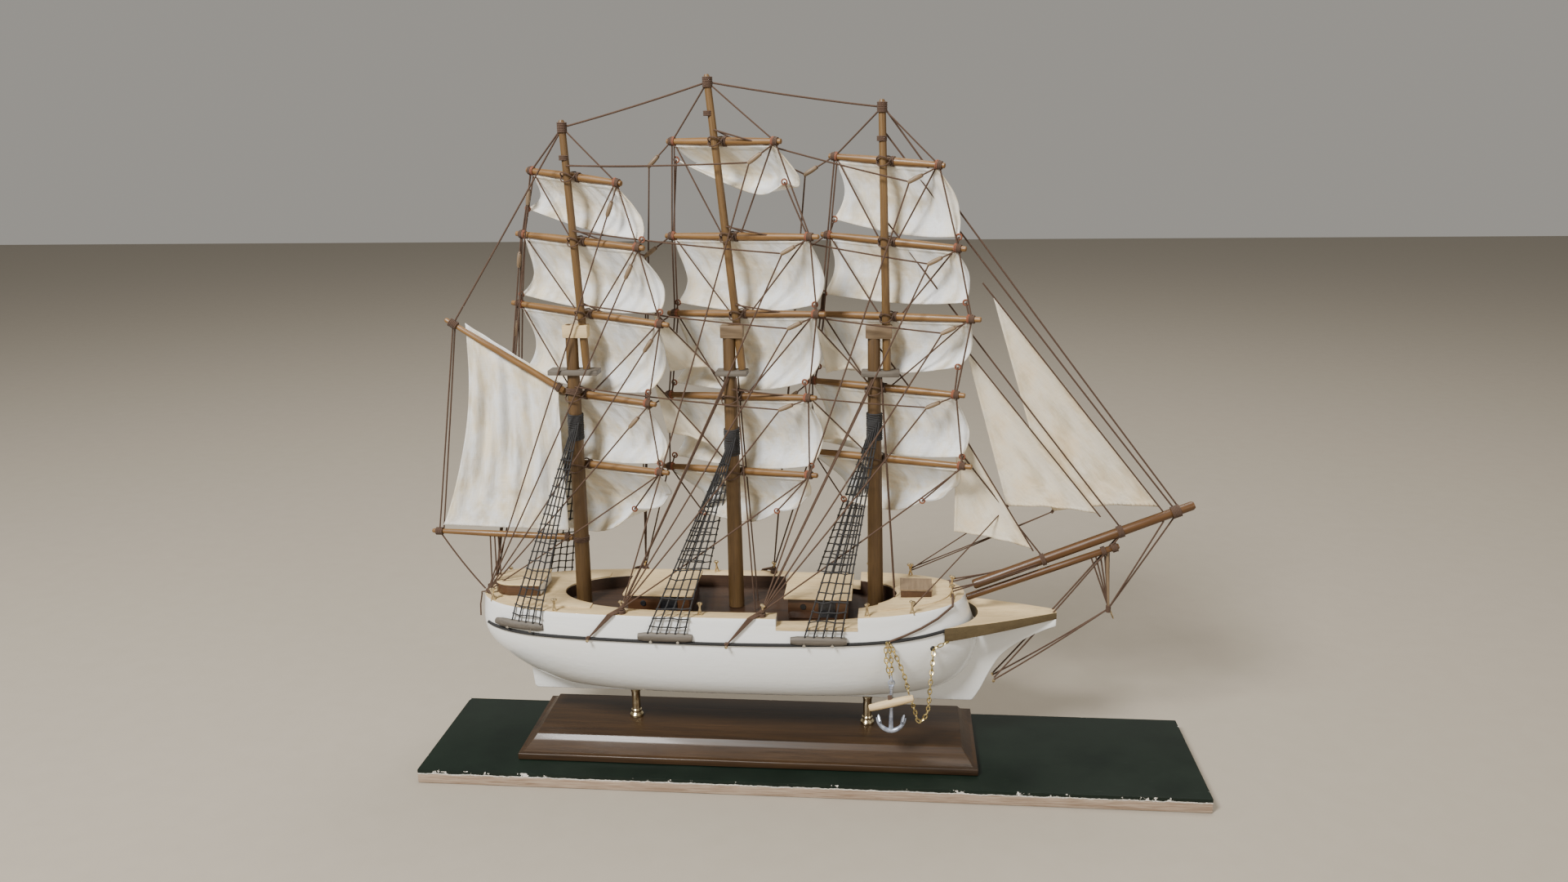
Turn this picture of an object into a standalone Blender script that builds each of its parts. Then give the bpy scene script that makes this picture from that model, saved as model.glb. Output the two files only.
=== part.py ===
"""A three-masted model sailing ship on its pedestal base and display board.

Frame: +X towards the bow, +Y to port, +Z up. The origin lies on the underside of the display board,
below the ship's centre line. All lengths are in metres.
"""

import math

import bmesh
import bpy
from mathutils import Matrix, Vector

GAP = 0.0003  # clearance between pieces that touch

# Base
BOARD_SIZE = (0.512, 0.101, 0.0097)
BOARD_CENTRE_Y = -0.0077
PLINTH_CENTRE_X = -0.040
PLINTH_FOOT = (0.305, 0.083)
PLINTH_TOP = (0.285, 0.057)
PLINTH_LIP = 0.0045  # height of the upright lip at the foot
PLINTH_STEP = 0.0025  # width of the ledge above the lip
PLINTH_COVE = 0.0095  # height at which the sloped face starts
PLINTH_HEIGHT = 0.0134
POST_X = {"aft": -0.120, "fore": 0.040}
POST_RADIUS = 0.0030
POST_FLANGE = 0.0046

# Hull
KEEL_Z = 0.0440
HULL_BOTTOM_Z = 0.0500
DECK_Z = 0.1160
MIDSHIP_X = -0.045
BOW_RISE = 0.0045
STERN_DROP = 0.0010
# Each waterline: height, stern end, bow end, half breadth, fineness of its ends
WATERLINES = (
    (0.0500, -0.168, 0.062, 0.0120, 0.80),
    (0.0525, -0.175, 0.076, 0.0200, 0.74),
    (0.0570, -0.183, 0.092, 0.0285, 0.68),
    (0.0650, -0.196, 0.103, 0.0345, 0.62),
    (0.0750, -0.209, 0.109, 0.0385, 0.57),
    (0.0860, -0.2185, 0.112, 0.0410, 0.53),
    (0.0980, -0.2215, 0.110, 0.0420, 0.50),
    (0.1160, -0.2200, 0.103, 0.0420, 0.50),
)
HULL_RING_POINTS = 32
ABOVE_ALL_Z = 0.140  # clear of the deck, for cutters
WELL_ENDS = (-0.164, 0.059)
WELL_HALF_WIDTH = 0.0322
WELL_FINENESS = 0.62
WELL_FLOOR_Z = 0.1073
GANGWAY_X = (-0.0175, 0.0345)
GANGWAY_Z = 0.1107
KEEL_THICKNESS = 0.0070
KEEL_STERN_TOP_Z = 0.0640  # the plank leaves the hull's stern here
KEEL_BOW_TOP_Z = 0.0980  # and its bow here, under the head rail
# Outlines of the plank's two ends, as (x, height above the keel)
SKEG = ((-0.1918, 0.0180), (-0.1900, 0.0012), (-0.1888, 0.0))
STEM = (
    (0.1085, 0.0), (0.1105, 0.0008), (0.1153, 0.0090), (0.1215, 0.0225), (0.1280, 0.0333),
    (0.1384, 0.0424), (0.1540, 0.0512), (0.1630, 0.0550),
)
BEAK_TIP_X = 0.1630
STEM_TOP_X = 0.1120  # where the plank's top edge meets the bow
# Head rail: at its after ends and at its tip
RAIL_AFT_X = 0.0825
RAIL_AFT_HALF_WIDTH = 0.0305
RAIL_AFT_Z = (0.0965, 0.1065)
RAIL_TIP_HALF_WIDTH = 0.0030
RAIL_TIP_Z = (0.1040, 0.1086)
RAIL_CUT = (-0.2220, 0.1125, 0.0424)  # the hull's outline with a little clearance

# Deck fittings: middle, length and width of the roof
DECKHOUSES = {"aft_deckhouse": (-0.097, 0.046, 0.045), "fore_deckhouse": (0.008, 0.044, 0.045)}
ROOF_THICKNESS = 0.0016
ROOF_TOP_Z = 0.1232
ROOF_OVERHANG = 0.0025
JOINED = 0.0005  # overlap of two shapes that are joined into one
POOP_HOUSE_X = (-0.2120, -0.1785)
POOP_HOUSE_WIDTH = 0.028
POOP_HOUSE_HEIGHT = 0.0085
POOP_HOUSE_SIDES = 8
LOCKER_SIZE = (0.0200, 0.0190, 0.0056)
LOCKER_X = 0.0715

# Masts: foot and head of the lower mast, foot and head of the topmast, as (x, z)
MASTS = {
    "mizzen": ((-0.1522, 0.1076), (-0.1500, 0.2965), (-0.1413, 0.2687), (-0.1483, 0.4230)),
    "main": ((-0.0480, 0.1076), (-0.0486, 0.2965), (-0.0405, 0.2687), (-0.0580, 0.4480)),
    "fore": ((0.0450, 0.1076), (0.0427, 0.2965), (0.0511, 0.2687), (0.0467, 0.4320)),
}
MAST_FOOT_RADIUS = 0.0052
MAST_HEAD_RADIUS = 0.0039
TOPMAST_RADIUS = 0.0025
# Tops: length, and how far each reaches before the topmast's foot
TOPS = {"mizzen": (0.0325, 0.0080), "main": (0.0200, 0.0035), "fore": (0.0240, 0.0080)}
TOP_WIDTH = 0.0125
TOP_THICKNESS = 0.0034
TOP_Z = 0.2650
CAP_Z = (0.2890, 0.2972)
CAP_WIDTH = 0.0085
CAP_MARGIN = 0.0012

# Yards, from the highest down: height, port arm, starboard arm, tilt in degrees (starboard end up)
TIERS = ("royal", "topgallant", "upper_topsail", "lower_topsail", "course")
YARDS = {
    "mizzen": (
        (0.3890, 0.035, 0.036, -6.5),
        (0.3495, 0.049, 0.048, -4.0),
        (0.3035, 0.059, 0.061, -4.0),
        (0.2505, 0.056, 0.057, -2.5),
        (0.2030, 0.058, 0.065, 0.5),
    ),
    "main": (
        (0.4090, 0.037, 0.042, -0.5),
        (0.3517, 0.047, 0.060, 1.0),
        (0.3034, 0.053, 0.059, 2.5),
        (0.2495, 0.056, 0.057, 3.5),
        (0.1994, 0.058, 0.057, 3.0),
    ),
    "fore": (
        (0.3963, 0.038, 0.037, -4.5),
        (0.3482, 0.045, 0.050, -4.0),
        (0.3017, 0.052, 0.059, 1.0),
        (0.2561, 0.051, 0.057, -1.0),
        (0.2093, 0.052, 0.062, 0.5),
    ),
}
BRACE_ANGLE = math.radians(70)  # the yards are braced round, starboard ends forward
YARD_RADIUS = 0.0025
YARD_END_RADIUS = 0.0017
YARD_CLEARANCE = 0.0009

# Sails
SAIL_THICKNESS = 0.0008
SAIL_SPREAD = 0.88  # share of the yard that the head of a square sail covers
SAIL_BULGE = 0.014
SAIL_FOOT_GAP = 0.0020
COURSE_DROP = 0.038
SAIL_COLUMNS = 5
SAIL_ROWS = 4
# Head, tack and clew of each head sail; the clews are drawn to port
HEAD_SAILS = {
    "flying_jib": ((0.1155, 0, 0.3150), (0.2240, 0, 0.1810), (0.1410, 0.0170, 0.1700)),
    "outer_jib": ((0.1000, 0, 0.2820), (0.1860, 0, 0.1760), (0.1295, 0.0090, 0.1770)),
    "inner_jib": ((0.0957, 0, 0.2335), (0.1455, 0, 0.1515), (0.0957, 0.0060, 0.1600)),
}

# Spanker
GAFF = ((-0.1570, 0.2540), (-0.2325, 0.3005))
BOOM = ((-0.1572, 0.1535), (-0.2544, 0.1565))
SPAR_RADIUS = 0.0021
SPAR_END_RADIUS = 0.0015
SPANKER = ((-0.2190, 0.2885), (-0.1600, 0.2495), (-0.1600, 0.1580), (-0.2460, 0.1610))

# Bowsprit and jibboom, axis ends as (x, z)
BOWSPRIT = ((0.1047, 0.1168), (0.2005, 0.1545))
BOWSPRIT_RADIUS = 0.0023
JIBBOOM = ((0.1088, 0.1258), (0.2455, 0.1828))
JIBBOOM_RADIUS = 0.0032

# Anchor, hanging outboard from a nail on the starboard bow
ANCHOR_X = 0.0560
ANCHOR_Y = -0.0435
ANCHOR_RING_Z = 0.0735
ANCHOR_CROWN_Z = 0.0418
ANCHOR_ROD_RADIUS = 0.0011
ARM_RADIUS = 0.0100
ARM_SPAN = math.radians(132)
ARM_RINGS = 13
ARM_SIDES = 8
FLUKE_ANGLE = math.radians(60)
FLUKE_REACH = (0.0012, -0.0032)  # beyond the arms, and inside them
FLUKE_RADIUS = (0.0026, 0.0006)
EYE_RADIUS = 0.0022
EYE_HALF_THICKNESS = 0.0008
STOCK_Z = 0.0632
STOCK_LENGTH = 0.0290
STOCK_RADIUS = 0.0025
STOCK_TILT = math.radians(16)


def clear_scene():
    for obj in list(bpy.data.objects):
        bpy.data.objects.remove(obj, do_unlink=True)


def material(name, colour, roughness, metallic=0.0):
    made = bpy.data.materials.new(name)
    made.use_nodes = True
    shader = made.node_tree.nodes["Principled BSDF"]
    shader.inputs["Base Color"].default_value = (*colour, 1)
    shader.inputs["Roughness"].default_value = roughness
    shader.inputs["Metallic"].default_value = metallic
    return made


def green_coating(name):
    return material(name, (0.012, 0.026, 0.020), 0.35)


def walnut(name):
    return material(name, (0.075, 0.036, 0.018), 0.28)


def brass(name):
    return material(name, (0.80, 0.62, 0.28), 0.18, 1.0)


def white_paint(name):
    return material(name, (0.80, 0.82, 0.82), 0.30)


def pale_wood(name):
    return material(name, (0.58, 0.42, 0.25), 0.55)


def tan_wood(name):
    return material(name, (0.36, 0.29, 0.18), 0.60)


def brown_wood(name):
    return material(name, (0.19, 0.085, 0.035), 0.50)


def honey_wood(name):
    return material(name, (0.40, 0.19, 0.065), 0.48)


def cotton(name):
    return material(name, (0.80, 0.77, 0.69), 0.90)


def iron(name):
    return material(name, (0.30, 0.33, 0.38), 0.38, 0.9)


def link(name, mesh, finish):
    obj = bpy.data.objects.new(name, mesh)
    obj.data.materials.append(finish(name))
    bpy.context.scene.collection.objects.link(obj)
    return obj


def solid_from_bmesh(name, bm, finish, smooth=False):
    bmesh.ops.recalc_face_normals(bm, faces=bm.faces)
    mesh = bpy.data.meshes.new(name)
    bm.to_mesh(mesh)
    bm.free()
    if smooth:
        mesh.shade_smooth()
        mesh.set_sharp_from_angle(angle=math.radians(35))
    return link(name, mesh, finish)


def box(name, low, high, finish, bevel=0.0):
    bm = bmesh.new()
    size = Vector(high) - Vector(low)
    middle = (Vector(high) + Vector(low)) / 2
    bmesh.ops.create_cube(bm, size=1, matrix=Matrix.Translation(middle) @ Matrix.Diagonal((*size, 1)))
    if bevel:
        bmesh.ops.bevel(bm, geom=bm.edges[:], offset=bevel, segments=1, affect="EDGES")
    return solid_from_bmesh(name, bm, finish)


def close_across(bm, ring):
    """Closes a ring that is the same on both sides with strips straight across it."""
    half = len(ring) // 2
    for i in range(half):
        corners = (ring[i], ring[i + 1], ring[-i - 1], ring[-i])
        bm.faces.new(list(dict.fromkeys(corners)))


def loft(name, rings, finish, smooth=False, across=False):
    """A closed solid through rings of points that all have the same count."""
    bm = bmesh.new()
    made = [[bm.verts.new(point) for point in ring] for ring in rings]
    count = len(rings[0])
    for lower, upper in zip(made, made[1:]):
        for i in range(count):
            j = (i + 1) % count
            bm.faces.new((lower[i], lower[j], upper[j], upper[i]))
    for ring in (made[0], made[-1]):
        if across:
            close_across(bm, ring)
        else:
            bm.faces.new(ring)
    return solid_from_bmesh(name, bm, finish, smooth)


def circle(centre, side, across, radius, sides):
    """Points round a circle in the plane of the directions side and across."""
    angles = [2 * math.pi * i / sides for i in range(sides)]
    return [centre + (side * math.cos(a) + across * math.sin(a)) * radius for a in angles]


def turned(name, start, end, profile, finish, sides=12):
    """A turned rod from start to end; profile lists (share of the length, radius)."""
    axis = Vector(end) - Vector(start)
    side, across, _ = axis.to_track_quat("Z", "X").to_matrix().transposed()
    rings = [circle(Vector(start) + axis * share, side, across, radius, sides) for share, radius in profile]
    return loft(name, rings, finish, smooth=True)


def steady(radius):
    """The profile of a rod with the same radius all along."""
    return ((0, radius), (1, radius))


def plank(name, outline, thickness, finish):
    """An upright board on the centre line: an outline of (x, z) points and a thickness."""
    return loft(name, [[(x, y, z) for x, z in outline] for y in (-thickness / 2, thickness / 2)], finish)


def cutter(obj):
    obj.hide_render = True
    obj.display_type = "WIRE"
    return obj


def combine(obj, other, operation):
    modifier = obj.modifiers.new(other.name, "BOOLEAN")
    modifier.operation = operation
    modifier.object = cutter(other)
    return obj


# Base


def display_board():
    length, width, height = BOARD_SIZE
    low = (-length / 2, BOARD_CENTRE_Y - width / 2, 0)
    high = (length / 2, BOARD_CENTRE_Y + width / 2, height)
    box("display_board", low, high, green_coating, bevel=0.0004)


def rectangle(half_x, half_y, z):
    corners = ((-1, -1), (1, -1), (1, 1), (-1, 1))
    return [(PLINTH_CENTRE_X + sx * half_x, sy * half_y, z) for sx, sy in corners]


def plinth():
    foot_x, foot_y = PLINTH_FOOT[0] / 2, PLINTH_FOOT[1] / 2
    top_x, top_y = PLINTH_TOP[0] / 2, PLINTH_TOP[1] / 2
    base_z = BOARD_SIZE[2] + GAP
    rings = [
        rectangle(foot_x, foot_y, base_z),
        rectangle(foot_x, foot_y, base_z + PLINTH_LIP),
        rectangle(foot_x - PLINTH_STEP, foot_y - PLINTH_STEP, base_z + PLINTH_LIP),
        rectangle(top_x + PLINTH_STEP, top_y + PLINTH_STEP, base_z + PLINTH_COVE),
        rectangle(top_x, top_y, base_z + PLINTH_HEIGHT - GAP),
    ]
    loft("plinth", rings, walnut)


def pedestal_posts():
    start_z = BOARD_SIZE[2] + PLINTH_HEIGHT + GAP
    end_z = KEEL_Z - GAP
    profile = ((0, POST_FLANGE), (0.10, POST_FLANGE), (0.18, POST_RADIUS), (1, POST_RADIUS))
    for place, x in POST_X.items():
        turned(f"pedestal_post_{place}", (x, 0, start_z), (x, 0, end_z), profile, brass, sides=16)


# Hull


def sheer(x):
    """How far the deck line rises above its height amidships."""
    if x > MIDSHIP_X:
        return BOW_RISE * ((x - MIDSHIP_X) / (WATERLINES[-1][2] - MIDSHIP_X)) ** 2
    return -STERN_DROP * ((MIDSHIP_X - x) / (MIDSHIP_X - WATERLINES[-1][1])) ** 2


def rise(z, x):
    """How far a waterline follows the deck's sheer: not at all at the bottom, and fully at the deck."""
    bottom, top = WATERLINES[0][0], WATERLINES[-1][0]
    return ((z - bottom) / (top - bottom)) ** 2 * sheer(x)


def oval(stern_x, bow_x, middle_x, half_breadth, fineness, count):
    """Points (x, y) round a full oval with its greatest breadth at middle_x."""
    points = []
    for i in range(count):
        angle = 2 * math.pi * i / count
        along = math.copysign(abs(math.cos(angle)) ** fineness, math.cos(angle))
        reach = bow_x - middle_x if along > 0 else middle_x - stern_x
        points.append((middle_x + along * reach, half_breadth * math.sin(angle)))
    return points


def hull():
    rings = []
    for z, stern_x, bow_x, half_breadth, fineness in WATERLINES:
        points = oval(stern_x, bow_x, MIDSHIP_X, half_breadth, fineness, HULL_RING_POINTS)
        rings.append([(x, y, z + rise(z, x)) for x, y in points])
    made = loft("hull", rings, white_paint, smooth=True, across=True)
    middle = sum(WELL_ENDS) / 2
    outline = oval(*WELL_ENDS, middle, WELL_HALF_WIDTH, WELL_FINENESS, 28)
    rings = [[(x, y, z) for x, y in outline] for z in (WELL_FLOOR_Z, ABOVE_ALL_Z)]
    combine(made, loft("well_cutter", rings, pale_wood), "DIFFERENCE")
    beam = 3 * WELL_HALF_WIDTH
    low, high = (GANGWAY_X[0], -beam / 2, GANGWAY_Z), (GANGWAY_X[1], beam / 2, ABOVE_ALL_Z)
    combine(made, box("gangway_cutter", low, high, pale_wood), "DIFFERENCE")


def profile_end(index):
    """The hull's own outline on the centre line at one end: stern (1) or bow (2), from the bottom up."""
    outward = -GAP if index == 1 else GAP
    return [(line[index] + outward, line[0] + rise(line[0], line[index]) - GAP) for line in WATERLINES]


def rail_z(x):
    """The heights of the head rail's underside and top."""
    share = (x - RAIL_AFT_X) / (BEAK_TIP_X - RAIL_AFT_X)
    return [aft + share * (tip - aft) for aft, tip in zip(RAIL_AFT_Z, RAIL_TIP_Z)]


def keel_plank():
    """One flat board that makes the skeg, the keel, the stem and the beak."""
    outline = [point for point in profile_end(1) if point[1] < KEEL_STERN_TOP_Z]
    outline += [(x, KEEL_Z + height) for x, height in SKEG + STEM]
    outline += [(x, rail_z(x)[0] - GAP) for x in (BEAK_TIP_X, STEM_TOP_X)]
    outline += [point for point in reversed(profile_end(2)) if point[1] < KEEL_BOW_TOP_Z]
    plank("keel_plank", outline, KEEL_THICKNESS, white_paint)


def head_rail():
    """A tapering board laid round the bow that meets in a point at the beak's tip."""
    rings = []
    for level in (0, 1):
        aft_z, tip_z = rail_z(RAIL_AFT_X)[level], rail_z(BEAK_TIP_X)[level]
        rings.append([
            (RAIL_AFT_X, -RAIL_AFT_HALF_WIDTH, aft_z), (BEAK_TIP_X, -RAIL_TIP_HALF_WIDTH, tip_z),
            (BEAK_TIP_X, RAIL_TIP_HALF_WIDTH, tip_z), (RAIL_AFT_X, RAIL_AFT_HALF_WIDTH, aft_z),
        ])
    made = loft("head_rail", rings, tan_wood)
    stern_x, bow_x, half_breadth = RAIL_CUT
    points = oval(stern_x, bow_x, MIDSHIP_X, half_breadth, WATERLINES[-1][-1], 48)
    rings = [[(x, y, z) for x, y in points] for z in (KEEL_Z, ABOVE_ALL_Z)]
    combine(made, loft("bow_cutter", rings, pale_wood), "DIFFERENCE")


# Deck fittings


def deckhouses():
    for name, (middle, length, width) in DECKHOUSES.items():
        roof_low = ROOF_TOP_Z - ROOF_THICKNESS
        body_x, body_y = length / 2 - ROOF_OVERHANG, width / 2 - ROOF_OVERHANG
        body = box(
            name, (middle - body_x, -body_y, WELL_FLOOR_Z + GAP),
            (middle + body_x, body_y, roof_low + JOINED), brown_wood,
        )
        roof = box(
            f"{name}_roof_shape", (middle - length / 2, -width / 2, roof_low),
            (middle + length / 2, width / 2, ROOF_TOP_Z), pale_wood,
        )
        combine(body, roof, "UNION")


def poop_house():
    """A house with a round stern end and a flat front, standing on the deck."""
    stern_x, front_x = POOP_HOUSE_X
    radius = POOP_HOUSE_WIDTH / 2
    outline = [(front_x, -radius), (front_x, radius)]
    for i in range(POOP_HOUSE_SIDES + 1):
        angle = math.pi * (0.5 + i / POOP_HOUSE_SIDES)
        outline.append((stern_x + radius + radius * math.cos(angle), radius * math.sin(angle)))
    base_z = DECK_Z + GAP
    rings = [[(x, y, z) for x, y in outline] for z in (base_z, base_z + POOP_HOUSE_HEIGHT)]
    loft("poop_house", rings, brown_wood)


def forecastle_locker():
    length, width, height = LOCKER_SIZE
    base_z = DECK_Z + sheer(LOCKER_X + length / 2) + 2 * GAP
    low = (LOCKER_X - length / 2, -width / 2, base_z)
    box("forecastle_locker", low, (LOCKER_X + length / 2, width / 2, base_z + height), brown_wood)


# Masts


def in_plane(point):
    return Vector((point[0], 0, point[1]))


def masts():
    for name, (foot, head, top_foot, top_head) in MASTS.items():
        lower = turned(
            f"{name}_lower_mast", in_plane(foot), in_plane(head),
            ((0, MAST_FOOT_RADIUS), (1, MAST_HEAD_RADIUS)), brown_wood, sides=16,
        )
        cap_low, cap_high = CAP_Z
        share = (cap_low - top_foot[1]) / (top_head[1] - top_foot[1])
        topmast_x = top_foot[0] + share * (top_head[0] - top_foot[0])
        cap = box(
            f"{name}_cap_shape",
            (head[0] - MAST_HEAD_RADIUS - CAP_MARGIN, -CAP_WIDTH / 2, cap_low),
            (topmast_x + TOPMAST_RADIUS + CAP_MARGIN, CAP_WIDTH / 2, cap_high),
            pale_wood,
        )
        combine(lower, cap, "UNION")
        hole = turned(
            f"{name}_cap_hole", in_plane(top_foot), in_plane(top_head),
            steady(TOPMAST_RADIUS + GAP), pale_wood, sides=16,
        )
        combine(lower, hole, "DIFFERENCE")
        turned(f"{name}_topmast", in_plane(top_foot), in_plane(top_head), steady(TOPMAST_RADIUS), brown_wood)


def tops():
    """The flat platforms at the doublings, threaded on the lower masts; the topmasts stand on them."""
    for name, (length, ahead) in TOPS.items():
        mast_x, mast_radius = mast_at(name, TOP_Z)
        fore_x = MASTS[name][2][0] + ahead
        low, high = TOP_Z, TOP_Z + TOP_THICKNESS
        made = box(
            f"{name}_top", (fore_x - length, -TOP_WIDTH / 2, low), (fore_x, TOP_WIDTH / 2, high), brown_wood
        )
        hole = turned(
            f"{name}_top_hole", (mast_x, 0, low - TOP_THICKNESS), (mast_x, 0, high + TOP_THICKNESS),
            steady(mast_radius + GAP), pale_wood, sides=16,
        )
        combine(made, hole, "DIFFERENCE")


def mast_at(name, z):
    """The mast's axis and radius at a height: the lower mast, or the topmast above the cap."""
    foot, head, top_foot, top_head = MASTS[name]
    if z < CAP_Z[1]:
        share = (z - foot[1]) / (head[1] - foot[1])
        radius = MAST_FOOT_RADIUS + share * (MAST_HEAD_RADIUS - MAST_FOOT_RADIUS)
        return foot[0] + share * (head[0] - foot[0]), radius
    share = (z - top_foot[1]) / (top_head[1] - top_foot[1])
    return top_foot[0] + share * (top_head[0] - top_foot[0]), TOPMAST_RADIUS


# Yards and square sails

OUTWARD = Vector((math.cos(BRACE_ANGLE), math.sin(BRACE_ANGLE), 0))
STARBOARD = Vector((math.sin(BRACE_ANGLE), -math.cos(BRACE_ANGLE), 0))


def yard_line(mast, tier):
    """The yard's middle, its direction towards the starboard end, and its two arms."""
    z, port_arm, starboard_arm, tilt = YARDS[mast][tier]
    x, radius = mast_at(mast, z)
    middle = Vector((x, 0, z)) + OUTWARD * (radius + YARD_RADIUS + YARD_CLEARANCE)
    tilt = math.radians(tilt)
    direction = STARBOARD * math.cos(tilt) + Vector((0, 0, math.sin(tilt)))
    return middle, direction, port_arm, starboard_arm


def yards():
    profile = ((0, YARD_END_RADIUS), (0.30, YARD_RADIUS), (0.70, YARD_RADIUS), (1, YARD_END_RADIUS))
    for mast in YARDS:
        for tier, tier_name in enumerate(TIERS):
            middle, direction, port_arm, starboard_arm = yard_line(mast, tier)
            start = middle - direction * port_arm
            end = middle + direction * starboard_arm
            turned(f"{mast}_{tier_name}_yard", start, end, profile, honey_wood, sides=10)


def spread_points(mast, tier, drop, count):
    """Points along the covered part of a yard, below it by drop."""
    middle, direction, port_arm, starboard_arm = yard_line(mast, tier)
    points = []
    for i in range(count):
        along = (-port_arm + (port_arm + starboard_arm) * i / (count - 1)) * SAIL_SPREAD
        points.append(middle + direction * along - Vector((0, 0, drop)))
    return points


def curved_sheet(name, head, foot, rows, bulge):
    """A thin closed sheet from the head points to the foot points, bellied outwards in the middle."""
    bm = bmesh.new()
    columns = len(head)
    skins = []
    for side in (-0.5, 0.5):
        skin = []
        for row in range(rows + 1):
            t = row / rows
            line = []
            for column in range(columns):
                s = 2 * column / (columns - 1) - 1
                belly = bulge * 4 * t * (1 - t) * math.sqrt(1 - s * s)
                point = head[column].lerp(foot[column], t) + OUTWARD * (belly + side * SAIL_THICKNESS)
                line.append(bm.verts.new(point))
            skin.append(line)
        skins.append(skin)
    for skin in skins:
        for upper, lower in zip(skin, skin[1:]):
            for column in range(columns - 1):
                bm.faces.new((upper[column], upper[column + 1], lower[column + 1], lower[column]))
    front, back = skins
    rims = [
        (front[0], back[0]), (front[-1], back[-1]),
        ([line[0] for line in front], [line[0] for line in back]),
        ([line[-1] for line in front], [line[-1] for line in back]),
    ]
    for first, second in rims:
        for i in range(len(first) - 1):
            bm.faces.new((first[i], first[i + 1], second[i + 1], second[i]))
    return solid_from_bmesh(name, bm, cotton, smooth=True)


def square_sails():
    for mast in YARDS:
        for tier, tier_name in enumerate(TIERS):
            head = spread_points(mast, tier, YARD_RADIUS + GAP, SAIL_COLUMNS)
            if tier_name == "course":
                foot = [point - Vector((0, 0, COURSE_DROP)) for point in head]
            else:
                foot = spread_points(mast, tier + 1, -YARD_RADIUS - SAIL_FOOT_GAP, SAIL_COLUMNS)
            name = f"{mast}_{tier_name}_sail" if tier_name != "course" else f"{mast}_course"
            curved_sheet(name, head, foot, SAIL_ROWS, SAIL_BULGE)


# Fore-and-aft sails and their spars


def head_sails():
    for name, corners in HEAD_SAILS.items():
        head, tack, clew = (Vector(corner) for corner in corners)
        proud = (tack - head).cross(clew - head).normalized() * (SAIL_THICKNESS / 2)
        loft(name, [[head + step, tack + step, clew + step] for step in (-proud, proud)], cotton)


def spanker():
    profile = ((0, SPAR_RADIUS), (0.6, SPAR_RADIUS), (1, SPAR_END_RADIUS))
    turned("spanker_gaff", in_plane(GAFF[0]), in_plane(GAFF[1]), profile, honey_wood, sides=10)
    turned("spanker_boom", in_plane(BOOM[0]), in_plane(BOOM[1]), profile, honey_wood, sides=10)
    plank("spanker_sail", SPANKER, SAIL_THICKNESS, cotton)


def bowsprit():
    for name, (start, end), radius in (
        ("bowsprit", BOWSPRIT, BOWSPRIT_RADIUS), ("jibboom", JIBBOOM, JIBBOOM_RADIUS),
    ):
        turned(name, in_plane(start), in_plane(end), steady(radius), honey_wood)


# Anchor


def arm_spoke(angle):
    """The direction from the centre of the arms' circle, with angle 0 straight down."""
    return Vector((math.sin(angle), 0, -math.cos(angle)))


def anchor():
    across = Vector((0, 1, 0))
    top = Vector((ANCHOR_X, ANCHOR_Y, ANCHOR_RING_Z))
    crown = Vector((ANCHOR_X, ANCHOR_Y, ANCHOR_CROWN_Z))
    centre = crown + Vector((0, 0, ARM_RADIUS))
    made = turned("anchor", crown, top, steady(ANCHOR_ROD_RADIUS), iron, sides=10)
    rings = []
    for i in range(ARM_RINGS):
        share = 2 * i / (ARM_RINGS - 1) - 1
        spoke = arm_spoke(share * ARM_SPAN / 2)
        radius = ANCHOR_ROD_RADIUS * (1.3 - 0.6 * abs(share))
        rings.append(circle(centre + spoke * ARM_RADIUS, spoke, across, radius, ARM_SIDES))
    combine(made, loft("anchor_arms", rings, iron), "UNION")
    for side in (-1, 1):
        ends = [centre + arm_spoke(side * FLUKE_ANGLE) * (ARM_RADIUS + reach) for reach in FLUKE_REACH]
        profile = tuple(enumerate(FLUKE_RADIUS))
        combine(made, turned(f"anchor_fluke_{side + 1}", *ends, profile, iron, sides=6), "UNION")
    eye_middle = top + Vector((0, 0, ANCHOR_ROD_RADIUS))
    ends = [eye_middle + across * (side * EYE_HALF_THICKNESS) for side in (-1, 1)]
    combine(made, turned("anchor_eye", *ends, steady(EYE_RADIUS), iron), "UNION")


def anchor_stock():
    """A round wooden bar beside the shank, lashed across it."""
    middle = Vector((ANCHOR_X, ANCHOR_Y - ANCHOR_ROD_RADIUS - STOCK_RADIUS - GAP, STOCK_Z))
    half = Vector((math.cos(STOCK_TILT), 0, math.sin(STOCK_TILT))) * (STOCK_LENGTH / 2)
    profile = ((0, STOCK_RADIUS * 0.9), (0.05, STOCK_RADIUS), (0.95, STOCK_RADIUS), (1, STOCK_RADIUS * 0.9))
    turned("anchor_stock", middle - half, middle + half, profile, pale_wood)


def main():
    clear_scene()
    for build in (
        display_board, plinth, pedestal_posts, hull, keel_plank, head_rail, deckhouses, poop_house,
        forecastle_locker, masts, tops, yards, square_sails, head_sails, spanker, bowsprit, anchor,
        anchor_stock,
    ):
        build()


main()
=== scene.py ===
"""The looks of a three-masted model sailing ship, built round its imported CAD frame."""

import math
import random

import bmesh
import bpy
import numpy as np
from mathutils import Matrix, Vector


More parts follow.
